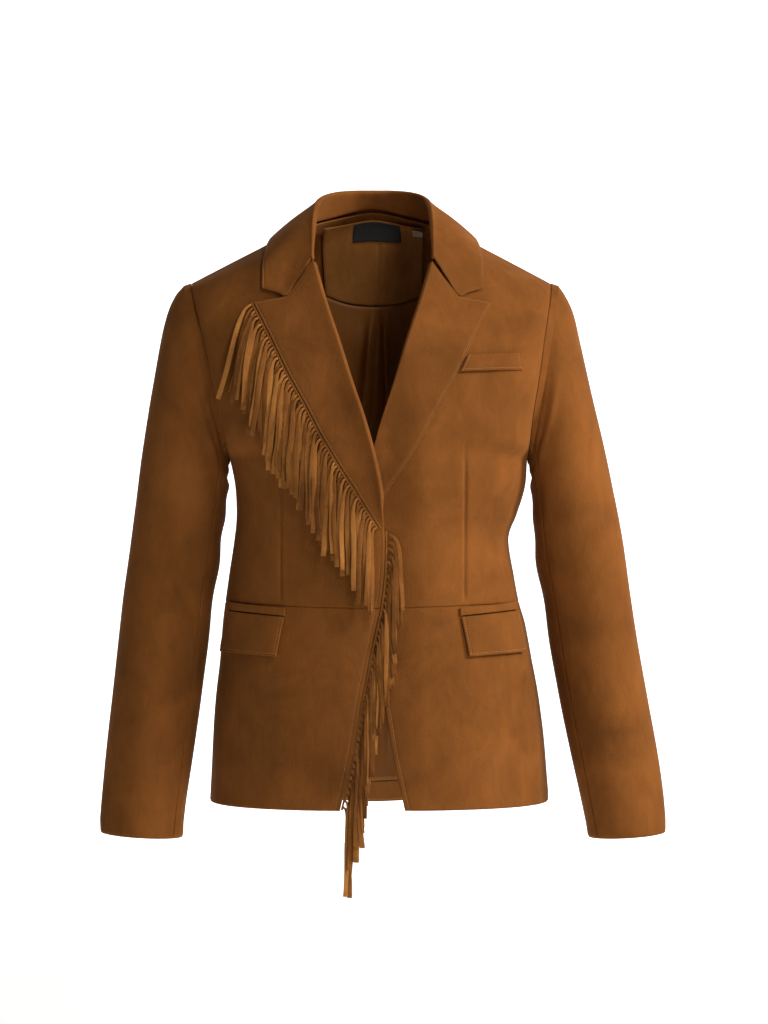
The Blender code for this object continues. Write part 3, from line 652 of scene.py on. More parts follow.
@dataclass(frozen=True)
class Weave:
    """A narrow woven ribbon, as labels and tapes are: crossed threads, dull, with a little relief."""

    name: str
    shadow: str
    thread: str
    pitch_mm: float = 1.1
    roughness: float = 0.62
    specular: float = 0.3
    relief: float = 0.0003

    def make(self) -> bpy.types.Material:
        """The material: two wave patterns at right angles, along the ribbon's own UV map."""
        made, tree, shader = blank_material(self.name)
        place = add_node(tree, "ShaderNodeUVMap", {"uv_map": "cloth"}).outputs["UV"]
        turns = 1000 / self.pitch_mm * np.pi / 10
        warp, weft = (add_node(tree, "ShaderNodeTexWave", {"bands_direction": across, "Scale": turns},
                               {"Vector": place}) for across in "XY")
        cross = add_node(tree, "ShaderNodeMath", {"operation": "MULTIPLY"},
                         {0: warp.outputs["Fac"], 1: weft.outputs["Fac"]})
        shades = {"data_type": "RGBA", 6: linear(self.shadow), 7: linear(self.thread)}
        tint = add_node(tree, "ShaderNodeMix", shades, {0: cross.outputs["Value"]})
        relief = add_node(tree, "ShaderNodeBump", {"Strength": 0.4, "Distance": self.relief},
                          {"Height": cross.outputs["Value"]})
        shader.inputs["Roughness"].default_value = self.roughness
        shader.inputs["Specular IOR Level"].default_value = self.specular
        tree.links.new(tint.outputs[2], shader.inputs["Base Color"])
        tree.links.new(relief.outputs["Normal"], shader.inputs["Normal"])
        return made


@dataclass(frozen=True)
class Thread:
    """Spun polyester thread, a shade paler than the suede, with a slight lustre."""

    name: str = "sewing_thread"
    deep: str = "#7d5227"
    lit: str = "#b08452"
    strand_mm: float = 0.6
    roughness: float = 0.6

    def make(self) -> bpy.types.Material:
        """The material: a fine uneven shade over a dull base."""
        made, tree, shader = blank_material(self.name)
        place = add_node(tree, "ShaderNodeTexCoord").outputs["Object"]
        fuzz = add_node(tree, "ShaderNodeTexNoise", {"Scale": 1000 / self.strand_mm, "Detail": 2.0},
                        {"Vector": place})
        shades = {"data_type": "RGBA", 6: linear(self.deep), 7: linear(self.lit)}
        tint = add_node(tree, "ShaderNodeMix", shades, {0: fuzz.outputs["Fac"]})
        shader.inputs["Roughness"].default_value = self.roughness
        tree.links.new(tint.outputs[2], shader.inputs["Base Color"])
        return made


@dataclass(frozen=True)
class Finishes:
    """The jacket's materials, made once."""

    suede: bpy.types.Material
    fringe: bpy.types.Material
    facing: bpy.types.Material
    satin: bpy.types.Material
    label: bpy.types.Material
    tag: bpy.types.Material
    thread: bpy.types.Material


def make_finishes() -> Finishes:
    """Make every material of the jacket."""
    return Finishes(
        suede=Suede("brushed_goat_suede").make(),
        # The fringe takes a copy of the suede that runs darker and paler: painted highlight and painted shade
        # on the strands, dealt out strand by strand at random.
        fringe=Suede("cut_suede_fringe", deep="#583313", body="#7f4e21", brushed="#a36c34",
                     stroke_mm=9.0, strand_share=0.5).make(),
        # The facings take a paler copy of the suede: painted light on the shaded inside of the neck and the
        # hem.
        facing=Suede("unworn_suede_facing", deep="#74471e", body="#8f5c2a", brushed="#a26c36").make(),
        satin=Satin().make(),
        label=Weave("label_damask", shadow="#1d1a1a", thread="#3a3535").make(),
        tag=Weave("size_tag_tape", shadow="#9b9186", thread="#cfc7bc").make(),
        thread=Thread().make(),
    )


# Sub-assemblies


def clustered(count: int, ease: float = 0.6) -> Grid:
    """Shares from 0 to 1 that lie closer together towards both ends."""
    even = np.linspace(0.0, 1.0, count)
    return (1.0 - ease) * even + ease * smooth(even)


def spread_rows(low: float, high: float, count: int) -> Grid:
    """Row numbers from low to high, closer together at both ends."""
    return low + (high - low) * clustered(count)


@dataclass(frozen=True)
class Hide:
    """The slow unevenness of soft suede, as a sum of seeded waves in three directions."""

    height: float = 0.5
    longest: float = 150.0
    shortest: float = 38.0
    waves: int = 14
    seed: int = 7

    def at(self, points: Grid) -> Grid:
        """How far each point stands out: sines of random direction, length and phase."""
        dice = np.random.default_rng(self.seed)
        total = np.zeros(points.shape[:-1])
        for _ in range(self.waves):
            length = dice.uniform(self.shortest, self.longest)
            heading = dice.normal(size=3) * np.array([1.0, 1.0, 0.55])
            heading /= np.linalg.norm(heading)
            phase = dice.uniform(0.0, 2 * np.pi)
            total += np.sin(points @ heading * 2 * np.pi / length + phase) * (length / self.longest)
        return total * self.height / np.sqrt(self.waves / 2)


@dataclass(frozen=True)
class Stitches:
    """A row of lockstitches along a line on the cloth: thread that rises out and dips back in."""

    pitch: float = 3.0
    length: float = 2.1
    width: float = 0.62
    sides: int = 6
    rings: int = 5
    groove: float = 0.35
    groove_width: float = 1.0

    def mesh(self, line: Grid, normal: Grid) -> tuple[Grid, Grid]:
        """Every stitch of one row.

        Each is a tube whose radius is a half ellipse along its length.

        Args:
            line: Points along the row.
            normal: The cloth's normal at each.

        Returns:
            Points and quads.
        """
        run = np.concatenate([[0.0], np.cumsum(np.linalg.norm(np.diff(line, axis=0), axis=1))])
        count = int(run[-1] / self.pitch)
        starts = (np.arange(count) + 0.5) * self.pitch
        share = np.linspace(-0.98, 0.98, self.rings)
        at = starts[:, None] + share * self.length / 2
        middle = np.stack([np.interp(at, run, line[:, k]) for k in range(3)], -1)
        out = np.stack([np.interp(at, run, normal[:, k]) for k in range(3)], -1)
        out /= np.linalg.norm(out, axis=-1, keepdims=True)
        ahead = np.gradient(middle, axis=1)
        ahead /= np.linalg.norm(ahead, axis=-1, keepdims=True)
        aside = np.cross(ahead, out)
        radius = self.width / 2 * np.sqrt(1.0 - share ** 2)[None, :, None, None]
        turn = np.linspace(0, 2 * np.pi, self.sides, endpoint=False)[None, None, :, None]
        spoke = np.cos(turn) * aside[:, :, None] + np.sin(turn) * out[:, :, None]
        rings = middle[:, :, None] + radius * spoke
        number = np.arange(count * self.rings * self.sides).reshape(count, self.rings, self.sides)
        ahead_side = np.roll(number, -1, axis=2)
        quads = np.stack([number[:, :-1], number[:, 1:], ahead_side[:, 1:], ahead_side[:, :-1]], -1)
        return rings.reshape(-1, 3), quads.reshape(-1, 4)

    def piece(self, name: str, rows: Sequence[tuple[Grid, Grid]],
              material: bpy.types.Material) -> bpy.types.Object:
        """One piece of several rows of stitches, riding on the jacket."""
        points, quads, first = [], [], 0
        for line, normal in rows:
            spots, faces = self.mesh(line, normal)
            points.append(spots)
            quads.append(faces + first)
            first += len(spots)
        made = add_mesh(name, np.concatenate(points), np.concatenate(quads), material)
        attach(made, "root")
        LOG.info("%s: %d faces", name, len(made.data.polygons))
        return made


STITCHES = Stitches()


def inset_line(grid: Grid, normal: Grid, edge: str, inset: float) -> tuple[Grid, Grid]:
    """The line on a face that keeps a distance from one of its edges.

    Args:
        grid: The face.
        normal: Its unit normals.
        edge: first_row, last_row, first_column or last_column.
        inset: The distance.

    Returns:
        Points of the line and the normals there.
    """
    number = EDGE_NAMES.index(edge)
    distance = edge_distances(grid)[number]
    if number < 2:
        grid, normal, distance = (np.swapaxes(part, 0, 1) for part in (grid, normal, distance))
    if number % 2:
        grid, normal, distance = grid[:, ::-1], normal[:, ::-1], distance[:, ::-1]
    past = np.maximum((distance >= inset).argmax(1), 1)
    lines = np.arange(len(grid))
    before, after = distance[lines, past - 1], distance[lines, past]
    share = ((inset - before) / (after - before + NEARLY_NONE))[:, None]
    line = grid[lines, past - 1] * (1 - share) + grid[lines, past] * share
    return line, normal[lines, past]


@dataclass(frozen=True)
class BodyPanels:
    """The four fronts and four backs: darts, waist seam, side seams and centre back seam."""

    thickness: float = 1.6
    seam_share: float = 0.0008
    seam_gap: float = 0.04
    dart_x: float = 100.0
    dart_top: float = -232.0
    dart_depth: float = 1.9
    dart_width: float = 1.7
    seam_round: float = 1.8
    edge_round: float = 1.2
    edge_stitch: float = 5.0
    columns_to_dart: int = 52
    columns_past_dart: int = 46
    columns_behind: int = 72
    upper_rows: int = 130
    skirt_rows: int = 80
    edge_ease: float = 14.0
    break_row: float = 7.5
    break_ease: float = 0.6
    stitched_below: float = -338.0
    bust_pull_z: float = -205.0
    waist_pull_z: float = -395.0
    back_pull_z: float = -385.0
    blades_z: float = -150.0
    front_flare_z: float = -430.0
    back_flare_z: float = -440.0
    flare_ease: float = 190.0
    hide: Hide = Hide()

    def front_relief(self, grid: Grid, row: Grid) -> Grid:
        """How far the front's face moves out: dart, drag lines and the hide's unevenness."""
        x, z = np.abs(grid[..., 0]), grid[..., 2]
        below_top = smooth((self.dart_top - z) / 40.0)
        dart = self.dart_depth * bump(x - self.dart_x, self.dart_width) * below_top
        beside = 0.9 * bump(x - self.dart_x, 16.0) * below_top
        above_waist = np.where(row > FORM.waist_row, 1.0, 0.0)
        slant = np.sin((x * 0.62 + z) / 13.0)
        drag = 1.3 * slant * bump(z - self.bust_pull_z, 60.0) * bump(x - 150.0, 34.0)
        skirt = 1.6 * np.sin(x / 15.5 + 0.8) * smooth((self.front_flare_z - z) / self.flare_ease)
        waist = 0.8 * np.sin(x / 10.0) * bump(z - self.waist_pull_z, 26.0)
        return self.hide.at(grid) + (beside - dart) * above_waist + drag + skirt + waist

    def rows(self, is_skirt: bool) -> Grid:
        """A panel's rows as a column: hem to waist seam, or waist seam to shoulder seam."""
        if is_skirt:
            return spread_rows(0.0, FORM.waist_row - self.seam_share, self.skirt_rows)[:, None]
        low, high = FORM.waist_row + self.seam_share, FORM.shoulder_row - self.seam_share
        return spread_rows(low, high, self.upper_rows)[:, None]

    def front(self, side: Side, is_skirt: bool) -> Grid:
        """A front's outer face from its own edge to the side: columns meet along the dart."""
        row = self.rows(is_skirt)
        half = FORM.half_width(FRONT_ROWS, side, row)
        start = np.arcsin(column(FRONT_ROWS, "inner", row) / half)
        dart = np.arcsin(self.dart_x / half)
        to_dart = start + (dart - start) * clustered(self.columns_to_dart)[None, :]
        past_dart = dart + (np.pi / 2 - dart) * clustered(self.columns_past_dart)[None, 1:]
        angle = np.concatenate([to_dart, past_dart], 1)
        x = np.minimum(np.sin(angle), FORM.side_seam_share) * half
        grid = FORM.point(side, x, row)
        normal = facing(grid, from_axis(grid))
        ends = edge_distances(grid)
        free = smooth(np.minimum.reduce([ends[0], ends[1], ends[3]]) / self.edge_ease)
        out = self.front_relief(grid, row) * free
        groove = STITCHES.groove * bump(ends[2] - self.edge_stitch, STITCHES.groove_width)
        groove = groove * smooth((self.break_row - row) / self.break_ease)
        return grid + normal * (out - groove - FORM.tucked(side, x, row))[..., None]

    def back(self, side: Side, is_skirt: bool) -> Grid:
        """A half back's outer face, spread from the centre seam to the side seam and armhole."""
        row = self.rows(is_skirt)
        share = np.sin(clustered(self.columns_behind, 0.4) * np.pi / 2)[None, :]
        share = np.minimum(share, FORM.side_seam_share)
        top = FORM.neck_row(share * FORM.half_width(BACK_ROWS, side, FORM.nape_row))
        above = np.maximum(row - FORM.underarm_row, 0.0) / (FORM.shoulder_row - FORM.underarm_row)
        row = row - above * (FORM.shoulder_row - top)
        x = np.maximum(share * FORM.half_width(BACK_ROWS, side, row), self.seam_gap / 2)
        grid = FORM.point(side, x, 2 * FORM.shoulder_row - row)
        normal = facing(grid, from_axis(grid))
        free = smooth(np.minimum.reduce(edge_distances(grid)) / self.edge_ease)
        z = grid[..., 2]
        across = 1.5 * np.sin(z / 11.0 + x / 40.0) * bump(z - self.back_pull_z, 34.0) * smooth(x / 40.0)
        blades = 1.4 * np.sin(x / 17.0 + z / 60.0) * bump(z - self.blades_z, 90.0)
        skirt = 1.7 * np.sin(x / 16.0 + 0.4) * smooth((self.back_flare_z - z) / self.flare_ease)
        out = (self.hide.at(grid) + across + blades + skirt) * free
        return grid + normal * out[..., None]

    def build(self, finishes: Finishes) -> None:
        """Make all eight panels and the stitches of the front edges."""
        sewn = []
        for side in Side:
            for part, make in (("front", self.front), ("back", self.back)):
                for is_skirt in (False, True):
                    name = f"{part}_skirt_{side.word}" if is_skirt else f"{part}_{side.word}"
                    grid = make(side, is_skirt)
                    free = {"first_row"} if is_skirt else set()
                    if part == "front":
                        free.add("first_column")
                    radii = {edge: self.edge_round if edge in free else self.seam_round
                             for edge in EDGE_NAMES}
                    edges = Edges(**radii, sewn=tuple(edge for edge in EDGE_NAMES if edge not in free))
                    piece = cloth(name, grid, self.thickness, finishes.suede, from_axis(grid), edges)
                    declare(piece, grid)
                    normal = facing(grid, from_axis(grid))
                    if part == "front":
                        line, out = inset_line(grid, normal, "first_column", self.edge_stitch)
                        low_enough = line[:, 2] < self.stitched_below
                        sewn.append((line[low_enough], out[low_enough]))
        STITCHES.piece("stitching_front_edges", sewn, finishes.thread)


@dataclass(frozen=True)
class Sleeves:
    """Two-piece sleeves: a top and an under piece, from the armhole down to a plain cuff."""

    thickness: float = 1.6
    seam_angle: float = float(np.radians(0.03))
    armhole_gap: float = 0.35
    seam_row: float = 11.1
    rings: int = 150
    head_rings: int = 26
    top_columns: int = 110
    under_columns: int = 64
    edge_ease: float = 16.0
    seam_round: float = 1.6
    cuff_round: float = 1.2
    hide: Hide = Hide(seed=21)

    def armhole(self, side: Side, angle: Grid) -> Grid:
        """The armhole seam as a ring round the arm, by angle: the panels' own ends by height."""
        share = (np.sin(angle) + 1) / 2
        rows = np.linspace(FORM.underarm_row, FORM.shoulder_row, 80)
        halves = []
        for table in (FRONT_ROWS, BACK_ROWS):
            x = FORM.half_width(table, side, rows)
            edge_y, edge_z = column(table, "edge_y", rows), column(table, "edge_z", rows)
            seam = np.stack([side.value * x, edge_y, edge_z], -1)
            height = (seam[:, 2] - seam[0, 2]) / (seam[-1, 2] - seam[0, 2])
            halves.append(np.stack([np.interp(share, height, seam[:, k]) for k in range(3)], -1))
        return np.where((np.cos(angle) > 0)[..., None], halves[0], halves[1])

    def surface(self, side: Side, angle: Grid, at: Grid) -> tuple[Grid, Grid]:
        """Points of a sleeve and its axis: the armhole ring at 0, then the table's rings in turn."""
        table = RIGHT_RINGS if side is Side.RIGHT else LEFT_RINGS
        ring = np.maximum(at - 1.0, 0.0)
        outer = np.stack([column(table, "outer_x", ring), column(table, "outer_z", ring)], -1)
        inner = np.stack([column(table, "inner_x", ring), column(table, "inner_z", ring)], -1)
        middle, arm = (outer + inner) / 2, (outer - inner) / 2
        mid_y = column(table, "mid_y", ring)
        flat = middle + arm * np.sin(angle)[..., None]
        depth = mid_y - column(table, "half_depth", ring) * np.cos(angle)
        tube = np.stack([side.value * flat[..., 0], depth, flat[..., 1]], -1)
        axis = np.stack([side.value * middle[..., 0], mid_y, middle[..., 1]], -1)
        seam = self.armhole(side, angle) + np.array([side.value * self.armhole_gap, 0.0, 0.0])
        return seam + (tube - seam) * np.clip(at, 0.0, 1.0)[..., None], axis

    def relief(self, grid: Grid, angle: Grid, at: Grid) -> Grid:
        """Creases inside the elbow, drag below the sleeve head and the hide's unevenness."""
        inside = smooth(0.5 - 0.9 * np.sin(angle))
        elbow = 1.1 * np.sin(at * 3.4 + 1.1 * np.cos(angle)) * bump(at - 7.4, 2.2) * inside
        under_head = 1.2 * np.sin(at * 2.6 + angle * 2.0) * bump(at - 3.2, 1.5) * smooth(0.6 - np.sin(angle))
        outside = 0.8 * np.sin(angle * 3.0 + at * 0.7) * smooth((at - 4.0) / 3.0)
        return self.hide.at(grid) + elbow + under_head + outside

    def face(self, side: Side, is_top: bool) -> tuple[Grid, Grid]:
        """The outer face of a top or under piece, and directions away from the sleeve's axis."""
        ends = column(FRONT_ROWS, "edge_z", np.array([FORM.underarm_row, FORM.shoulder_row]))
        seam_z = column(FRONT_ROWS, "edge_z", np.array(self.seam_row))
        front_seam = float(np.arcsin(2 * (seam_z - ends[0]) / (ends[1] - ends[0]) - 1))
        back_seam = np.pi - front_seam
        start, end = (front_seam, back_seam) if is_top else (back_seam, front_seam + 2 * np.pi)
        count = self.top_columns if is_top else self.under_columns
        angle = start + self.seam_angle + (end - start - 2 * self.seam_angle) * clustered(count, 0.3)
        below = np.linspace(1.0, len(RIGHT_RINGS), self.rings)[1:]
        at = np.concatenate([clustered(self.head_rings, 0.2), below])
        angle, at = np.broadcast_arrays(angle[None, :], at[:, None])
        grid, axis = self.surface(side, angle, at)
        away = grid - axis
        normal = facing(grid, away)
        free = smooth(np.minimum.reduce(edge_distances(grid)) / self.edge_ease)
        return grid + normal * (self.relief(grid, angle, at) * free)[..., None], away

    def build(self, finishes: Finishes) -> None:
        """Make the four sleeve pieces."""
        for side in Side:
            for is_top, word in ((True, "top"), (False, "under")):
                grid, away = self.face(side, is_top)
                edges = Edges(self.seam_round, self.cuff_round, self.seam_round, self.seam_round,
                              sewn=("first_row", "first_column", "last_column"))
                piece = cloth(f"{word}_sleeve_{side.word}", grid, self.thickness, finishes.suede, away, edges)
                declare(piece, grid)


@dataclass(frozen=True)
class Revers:
    """The peak lapels and the collar: two skins of suede, rolled over and edge stitched."""

    folded: float = 2.2
    lift: float = 1.2
    roll: float = 5.0
    break_row: float = 7.5
    gorge_row: float = 14.95
    notch: Spot = Spot(93, -79)
    notch_share: float = 0.375
    seam_gap: float = 0.5
    collar_fold: float = 4.0
    edge_stitch: float = 2.4
    edge_round: float = 1.6
    lapel_rows: int = 190
    lapel_columns: int = 76
    collar_stations: int = 110
    edge_ease: float = 18.0
    row_ease: float = 0.5
    collar_lift: float = 1.4
    stand_share: float = 0.80
    foot_in: float = 2.6
    foot_up: float = 1.8
    hide: Hide = Hide(height=0.35, longest=110.0, seed=5)

    def lapel_plan(self, side: Side) -> tuple[Grid, Grid, Grid]:
        """The lapel as seen from the front: distance from the middle, height, share across.

        Each row runs straight from the roll line to the outer edge, and near the gorge it bends
        down to the notch."""
        v = clustered(self.lapel_rows, self.row_ease)[:, None]
        w = clustered(self.lapel_columns, 0.6)[None, :]
        row = self.break_row + (self.gorge_row - self.break_row) * v
        roll_x = column(FRONT_ROWS, "inner", row)
        roll_z = FORM.sheet_point(FRONT_ROWS, side, np.abs(roll_x), row)[..., 2]
        number = v * (len(LAPEL_EDGE) - 1)
        edge_x, edge_z = column(LAPEL_EDGE, "x", number), column(LAPEL_EDGE, "z", number)
        x = roll_x + (edge_x - roll_x) * w
        z = roll_z + (edge_z - roll_z) * w
        straight_x = roll_x[-1] + (edge_x[-1] - roll_x[-1]) * self.notch_share
        straight_z = roll_z[-1] + (edge_z[-1] - roll_z[-1]) * self.notch_share
        peak = np.where(w < self.notch_share, w / self.notch_share, (1 - w) / (1 - self.notch_share))
        bend = peak * v ** 6
        x = x + bend * (self.notch.x - straight_x)
        z = z + bend * (self.notch.z - straight_z)
        return x, z, w

    def lapel(self, side: Side) -> Grid:
        """The lapel's outer face, lying on its front and rounded where it rolls back."""
        x, z, w = self.lapel_plan(side)
        v = clustered(self.lapel_rows, self.row_ease)[:, None]
        behind = FORM.tucked(side, x, FORM.row_at(side, np.abs(x), z))
        roll = self.roll * np.exp(-(w * 4.2) ** 1.5) * smooth(v * 6) * (1 - behind / FORM.tuck)
        grid = FORM.on_front(side, np.abs(x), z, 0.0)
        grid[..., 0] = side.value * x
        normal = facing(grid, from_axis(grid))
        ends = edge_distances(grid)
        sewn = np.minimum(ends[3], ends[1])
        groove = STITCHES.groove * bump(sewn - self.edge_stitch, STITCHES.groove_width)
        free = smooth(np.minimum(sewn, ends[2]) / self.edge_ease)
        lift = self.lift + self.folded + roll - behind - groove + self.hide.at(grid) * free
        grid = grid + normal * lift[..., None]
        rim = grid[:, :1] - facing(grid, from_axis(grid))[:, :1] * (0.6 * roll[:, :1] + 0.5)[..., None]
        rim[..., 0] -= side.value * (1.2 + 0.5 * roll[:, :1])
        halfway = (rim + grid[:, :1]) / 2
        halfway[..., 0] -= side.value * 0.35
        return np.concatenate([rim, halfway, grid], 1)

    def collar_frame(self) -> Grid:
        """Ten control columns of the collar at every station, from its foot to its outer edge."""
        stations = np.linspace(0, len(COLLAR) - 1, self.collar_stations)
        share = stations / stations[-1]
        fold = np.stack([column(COLLAR, c, stations) for c in ("fold_x", "fold_y", "fold_z")], -1)
        leaf = self.lift + self.folded + self.collar_lift
        seam_x, seam_row, edge_x, edge_row = (
            column(COLLAR, name, stations) for name in ("seam_x", "seam_row", "edge_x", "edge_row"))
        seam = FORM.point(Side.LEFT, seam_x, seam_row, 1.0)
        edge = FORM.point(Side.LEFT, edge_x, edge_row, leaf + 2.5 * (1 - share))
        stand = (1 - smooth((share - self.stand_share) / 0.20))[:, None]
        out = (edge - seam) * LEVEL
        out /= np.linalg.norm(out, axis=-1, keepdims=True) + NEARLY_NONE
        radius = self.collar_fold * (0.45 + 0.55 * stand)
        foot = seam - out * self.foot_in + UP * self.foot_up
        inner_top, outer_top = fold - out * radius, fold + out * radius
        columns = [foot, (foot + inner_top) / 2, inner_top, fold + UP * radius * 0.9, outer_top]
        swell = UP * 0.6 * stand + out * (1.0 + 1.5 * np.abs(2 * smooth((share - 0.2) / 0.6) - 1)[:, None])
        for w in (0.2, 0.4, 0.6, 0.8, 1.0):
            columns.append(outer_top + (edge - outer_top) * w + swell * np.sin(np.pi * w))
        grid = np.stack(columns, 1)
        gorge, tip = grid[-1, 4], grid[-1, -1]
        notch = FORM.on_front(Side.LEFT, self.notch.x, self.notch.z + 2 * self.seam_gap, leaf)
        end = [gorge, gorge + (notch - gorge) * 0.5, notch, notch + (tip - notch) * 0.35,
               notch + (tip - notch) * 0.7, tip]
        pull = smooth((share - 0.70) / 0.30)[:, None] ** 2
        for number, target in enumerate(end):
            grid[:, 4 + number] += (target - grid[-1, 4 + number]) * pull
        return grid

    def collar(self) -> tuple[Grid, Grid]:
        """The collar's outer face from end to end, and directions that look out of it.

        The ten control columns are read as smooth curves at sixty places."""
        grid = self.collar_frame()
        number = np.concatenate([np.linspace(0, 4, 25), 4 + 5 * clustered(44, 0.5)[1:]])
        low = np.minimum(number.astype(int), 8)
        t = (number - low)[None, :, None]
        slope = np.gradient(grid, axis=1)
        a, b = grid[:, low], grid[:, low + 1]
        smoother = (a + (b - a) * (3 * t ** 2 - 2 * t ** 3)
                    + (t ** 3 - 2 * t ** 2 + t) * slope[:, low] + (t ** 3 - t ** 2) * slope[:, low + 1])
        whole = np.concatenate([smoother[:0:-1] * np.array([-1.0, 1.0, 1.0]), smoother], 0)
        outward = whole * LEVEL
        outward[:, :13] *= -1.0
        normal = facing(whole, outward)
        ends = edge_distances(whole)
        sewn = np.minimum.reduce([ends[0], ends[1], ends[3]])
        groove = STITCHES.groove * bump(sewn - self.edge_stitch, STITCHES.groove_width)
        groove = groove * (number > 4.6)[None, :]
        return whole - normal * groove[..., None], outward

    def build(self, finishes: Finishes) -> None:
        """Make the lapels, the collar and their stitches."""
        edges = Edges(self.edge_round, self.edge_round, self.edge_round, self.edge_round)
        sewn = []
        for side in Side:
            grid = self.lapel(side)
            piece = cloth(f"lapel_{side.word}", grid, self.folded, finishes.suede, from_axis(grid), edges)
            declare(piece, grid)
            normal = facing(grid, from_axis(grid))
            for edge in ("last_column", "last_row"):
                line, out = inset_line(grid, normal, edge, self.edge_stitch)
                if edge == "last_row":
                    keep = line[:, 0] * side.value > self.notch.x + self.edge_stitch
                    line, out = line[keep], out[keep]
                sewn.append((line, out))
        grid, outward = self.collar()
        piece = cloth("collar", grid, self.folded - 0.2, finishes.suede, outward, edges)
        declare(piece, grid)
        normal = facing(grid, outward)
        sewn.append(inset_line(grid, normal, "last_column", self.edge_stitch))
        STITCHES.piece("stitching_lapels_and_collar", sewn, finishes.thread)


@dataclass(frozen=True)
class Patch:
    """A piece that lies on a front: four corners, from upper inner round to lower inner."""

    name: str
    side: Side
    corners: tuple[Spot, Spot, Spot, Spot]
    lift: tuple[float, float, float, float]
    thickness: float
    crown: float
    stitched: tuple[str, ...]


OPEN_EDGES = ("first_column", "last_column", "last_row")


@dataclass(frozen=True)
class Pockets:
    """Flap pockets at the hips, each under a welt, and a welted breast pocket."""

    folded: float = 2.2
    welt: float = 1.9
    stitch_inset: float = 3.2
    columns: int = 90
    rows: int = 60
    edge_round: float = 1.5

    def patches(self) -> list[Patch]:
        """Every piece, with both hips alike."""
        found = []
        for side in Side:
            found.append(Patch(
                f"pocket_welt_{side.word}", side,
                (Spot(94, -417), Spot(158, -412), Spot(158, -421), Spot(94, -426)),
                (2.6, 3.2, 3.2, 2.6), self.welt, 0.7, ()))
            found.append(Patch(
                f"pocket_flap_{side.word}", side,
                (Spot(95, -426.8), Spot(159, -421.8), Spot(165, -467), Spot(103, -470)),
                (2.9, 3.4, 5.4, 4.6), self.folded, 1.5, OPEN_EDGES))
        found.append(Patch(
            "breast_welt", Side.LEFT,
            (Spot(102.5, -143.5), Spot(161, -140), Spot(162, -159), Spot(93.8, -162)),
            (4.0, 4.0, 3.1, 3.1), self.welt, 1.2, OPEN_EDGES))
        return found

    def face(self, patch: Patch) -> Grid:
        """A patch's outer face: its corners blended across it, lifted off the front and crowned."""
        u, v = np.meshgrid(clustered(self.columns), clustered(self.rows))
        weights = ((1 - u) * (1 - v), u * (1 - v), u * v, (1 - u) * v)
        x = sum(w * spot.x for w, spot in zip(weights, patch.corners))
        z = sum(w * spot.z for w, spot in zip(weights, patch.corners))
        lift = sum(w * height for w, height in zip(weights, patch.lift))
        crown = patch.crown * np.sin(np.pi * u) ** 0.7 * np.sin(np.pi * v) ** 0.7
        grid = FORM.on_front(patch.side, x, z, 0.0)
        normal = facing(grid, from_axis(grid))
        ends = dict(zip(EDGE_NAMES, edge_distances(grid)))
        inset = (bump(ends[edge] - self.stitch_inset, STITCHES.groove_width) for edge in patch.stitched)
        groove = sum(inset, np.zeros(x.shape))
        out = lift + crown - STITCHES.groove * np.minimum(groove, 1.0)
        return grid + normal * out[..., None]

    def build(self, finishes: Finishes) -> None:
        """Make the welts and flaps and their stitches."""
        edges = Edges(self.edge_round, self.edge_round, self.edge_round, self.edge_round)
        sewn = []
        for patch in self.patches():
            grid = self.face(patch)
            piece = cloth(patch.name, grid, patch.thickness, finishes.suede, from_axis(grid), edges)
            declare(piece, grid)
            normal = facing(grid, from_axis(grid))
            for edge in patch.stitched:
                sewn.append(inset_line(grid, normal, edge, self.stitch_inset))
        STITCHES.piece("stitching_pockets", sewn, finishes.thread)


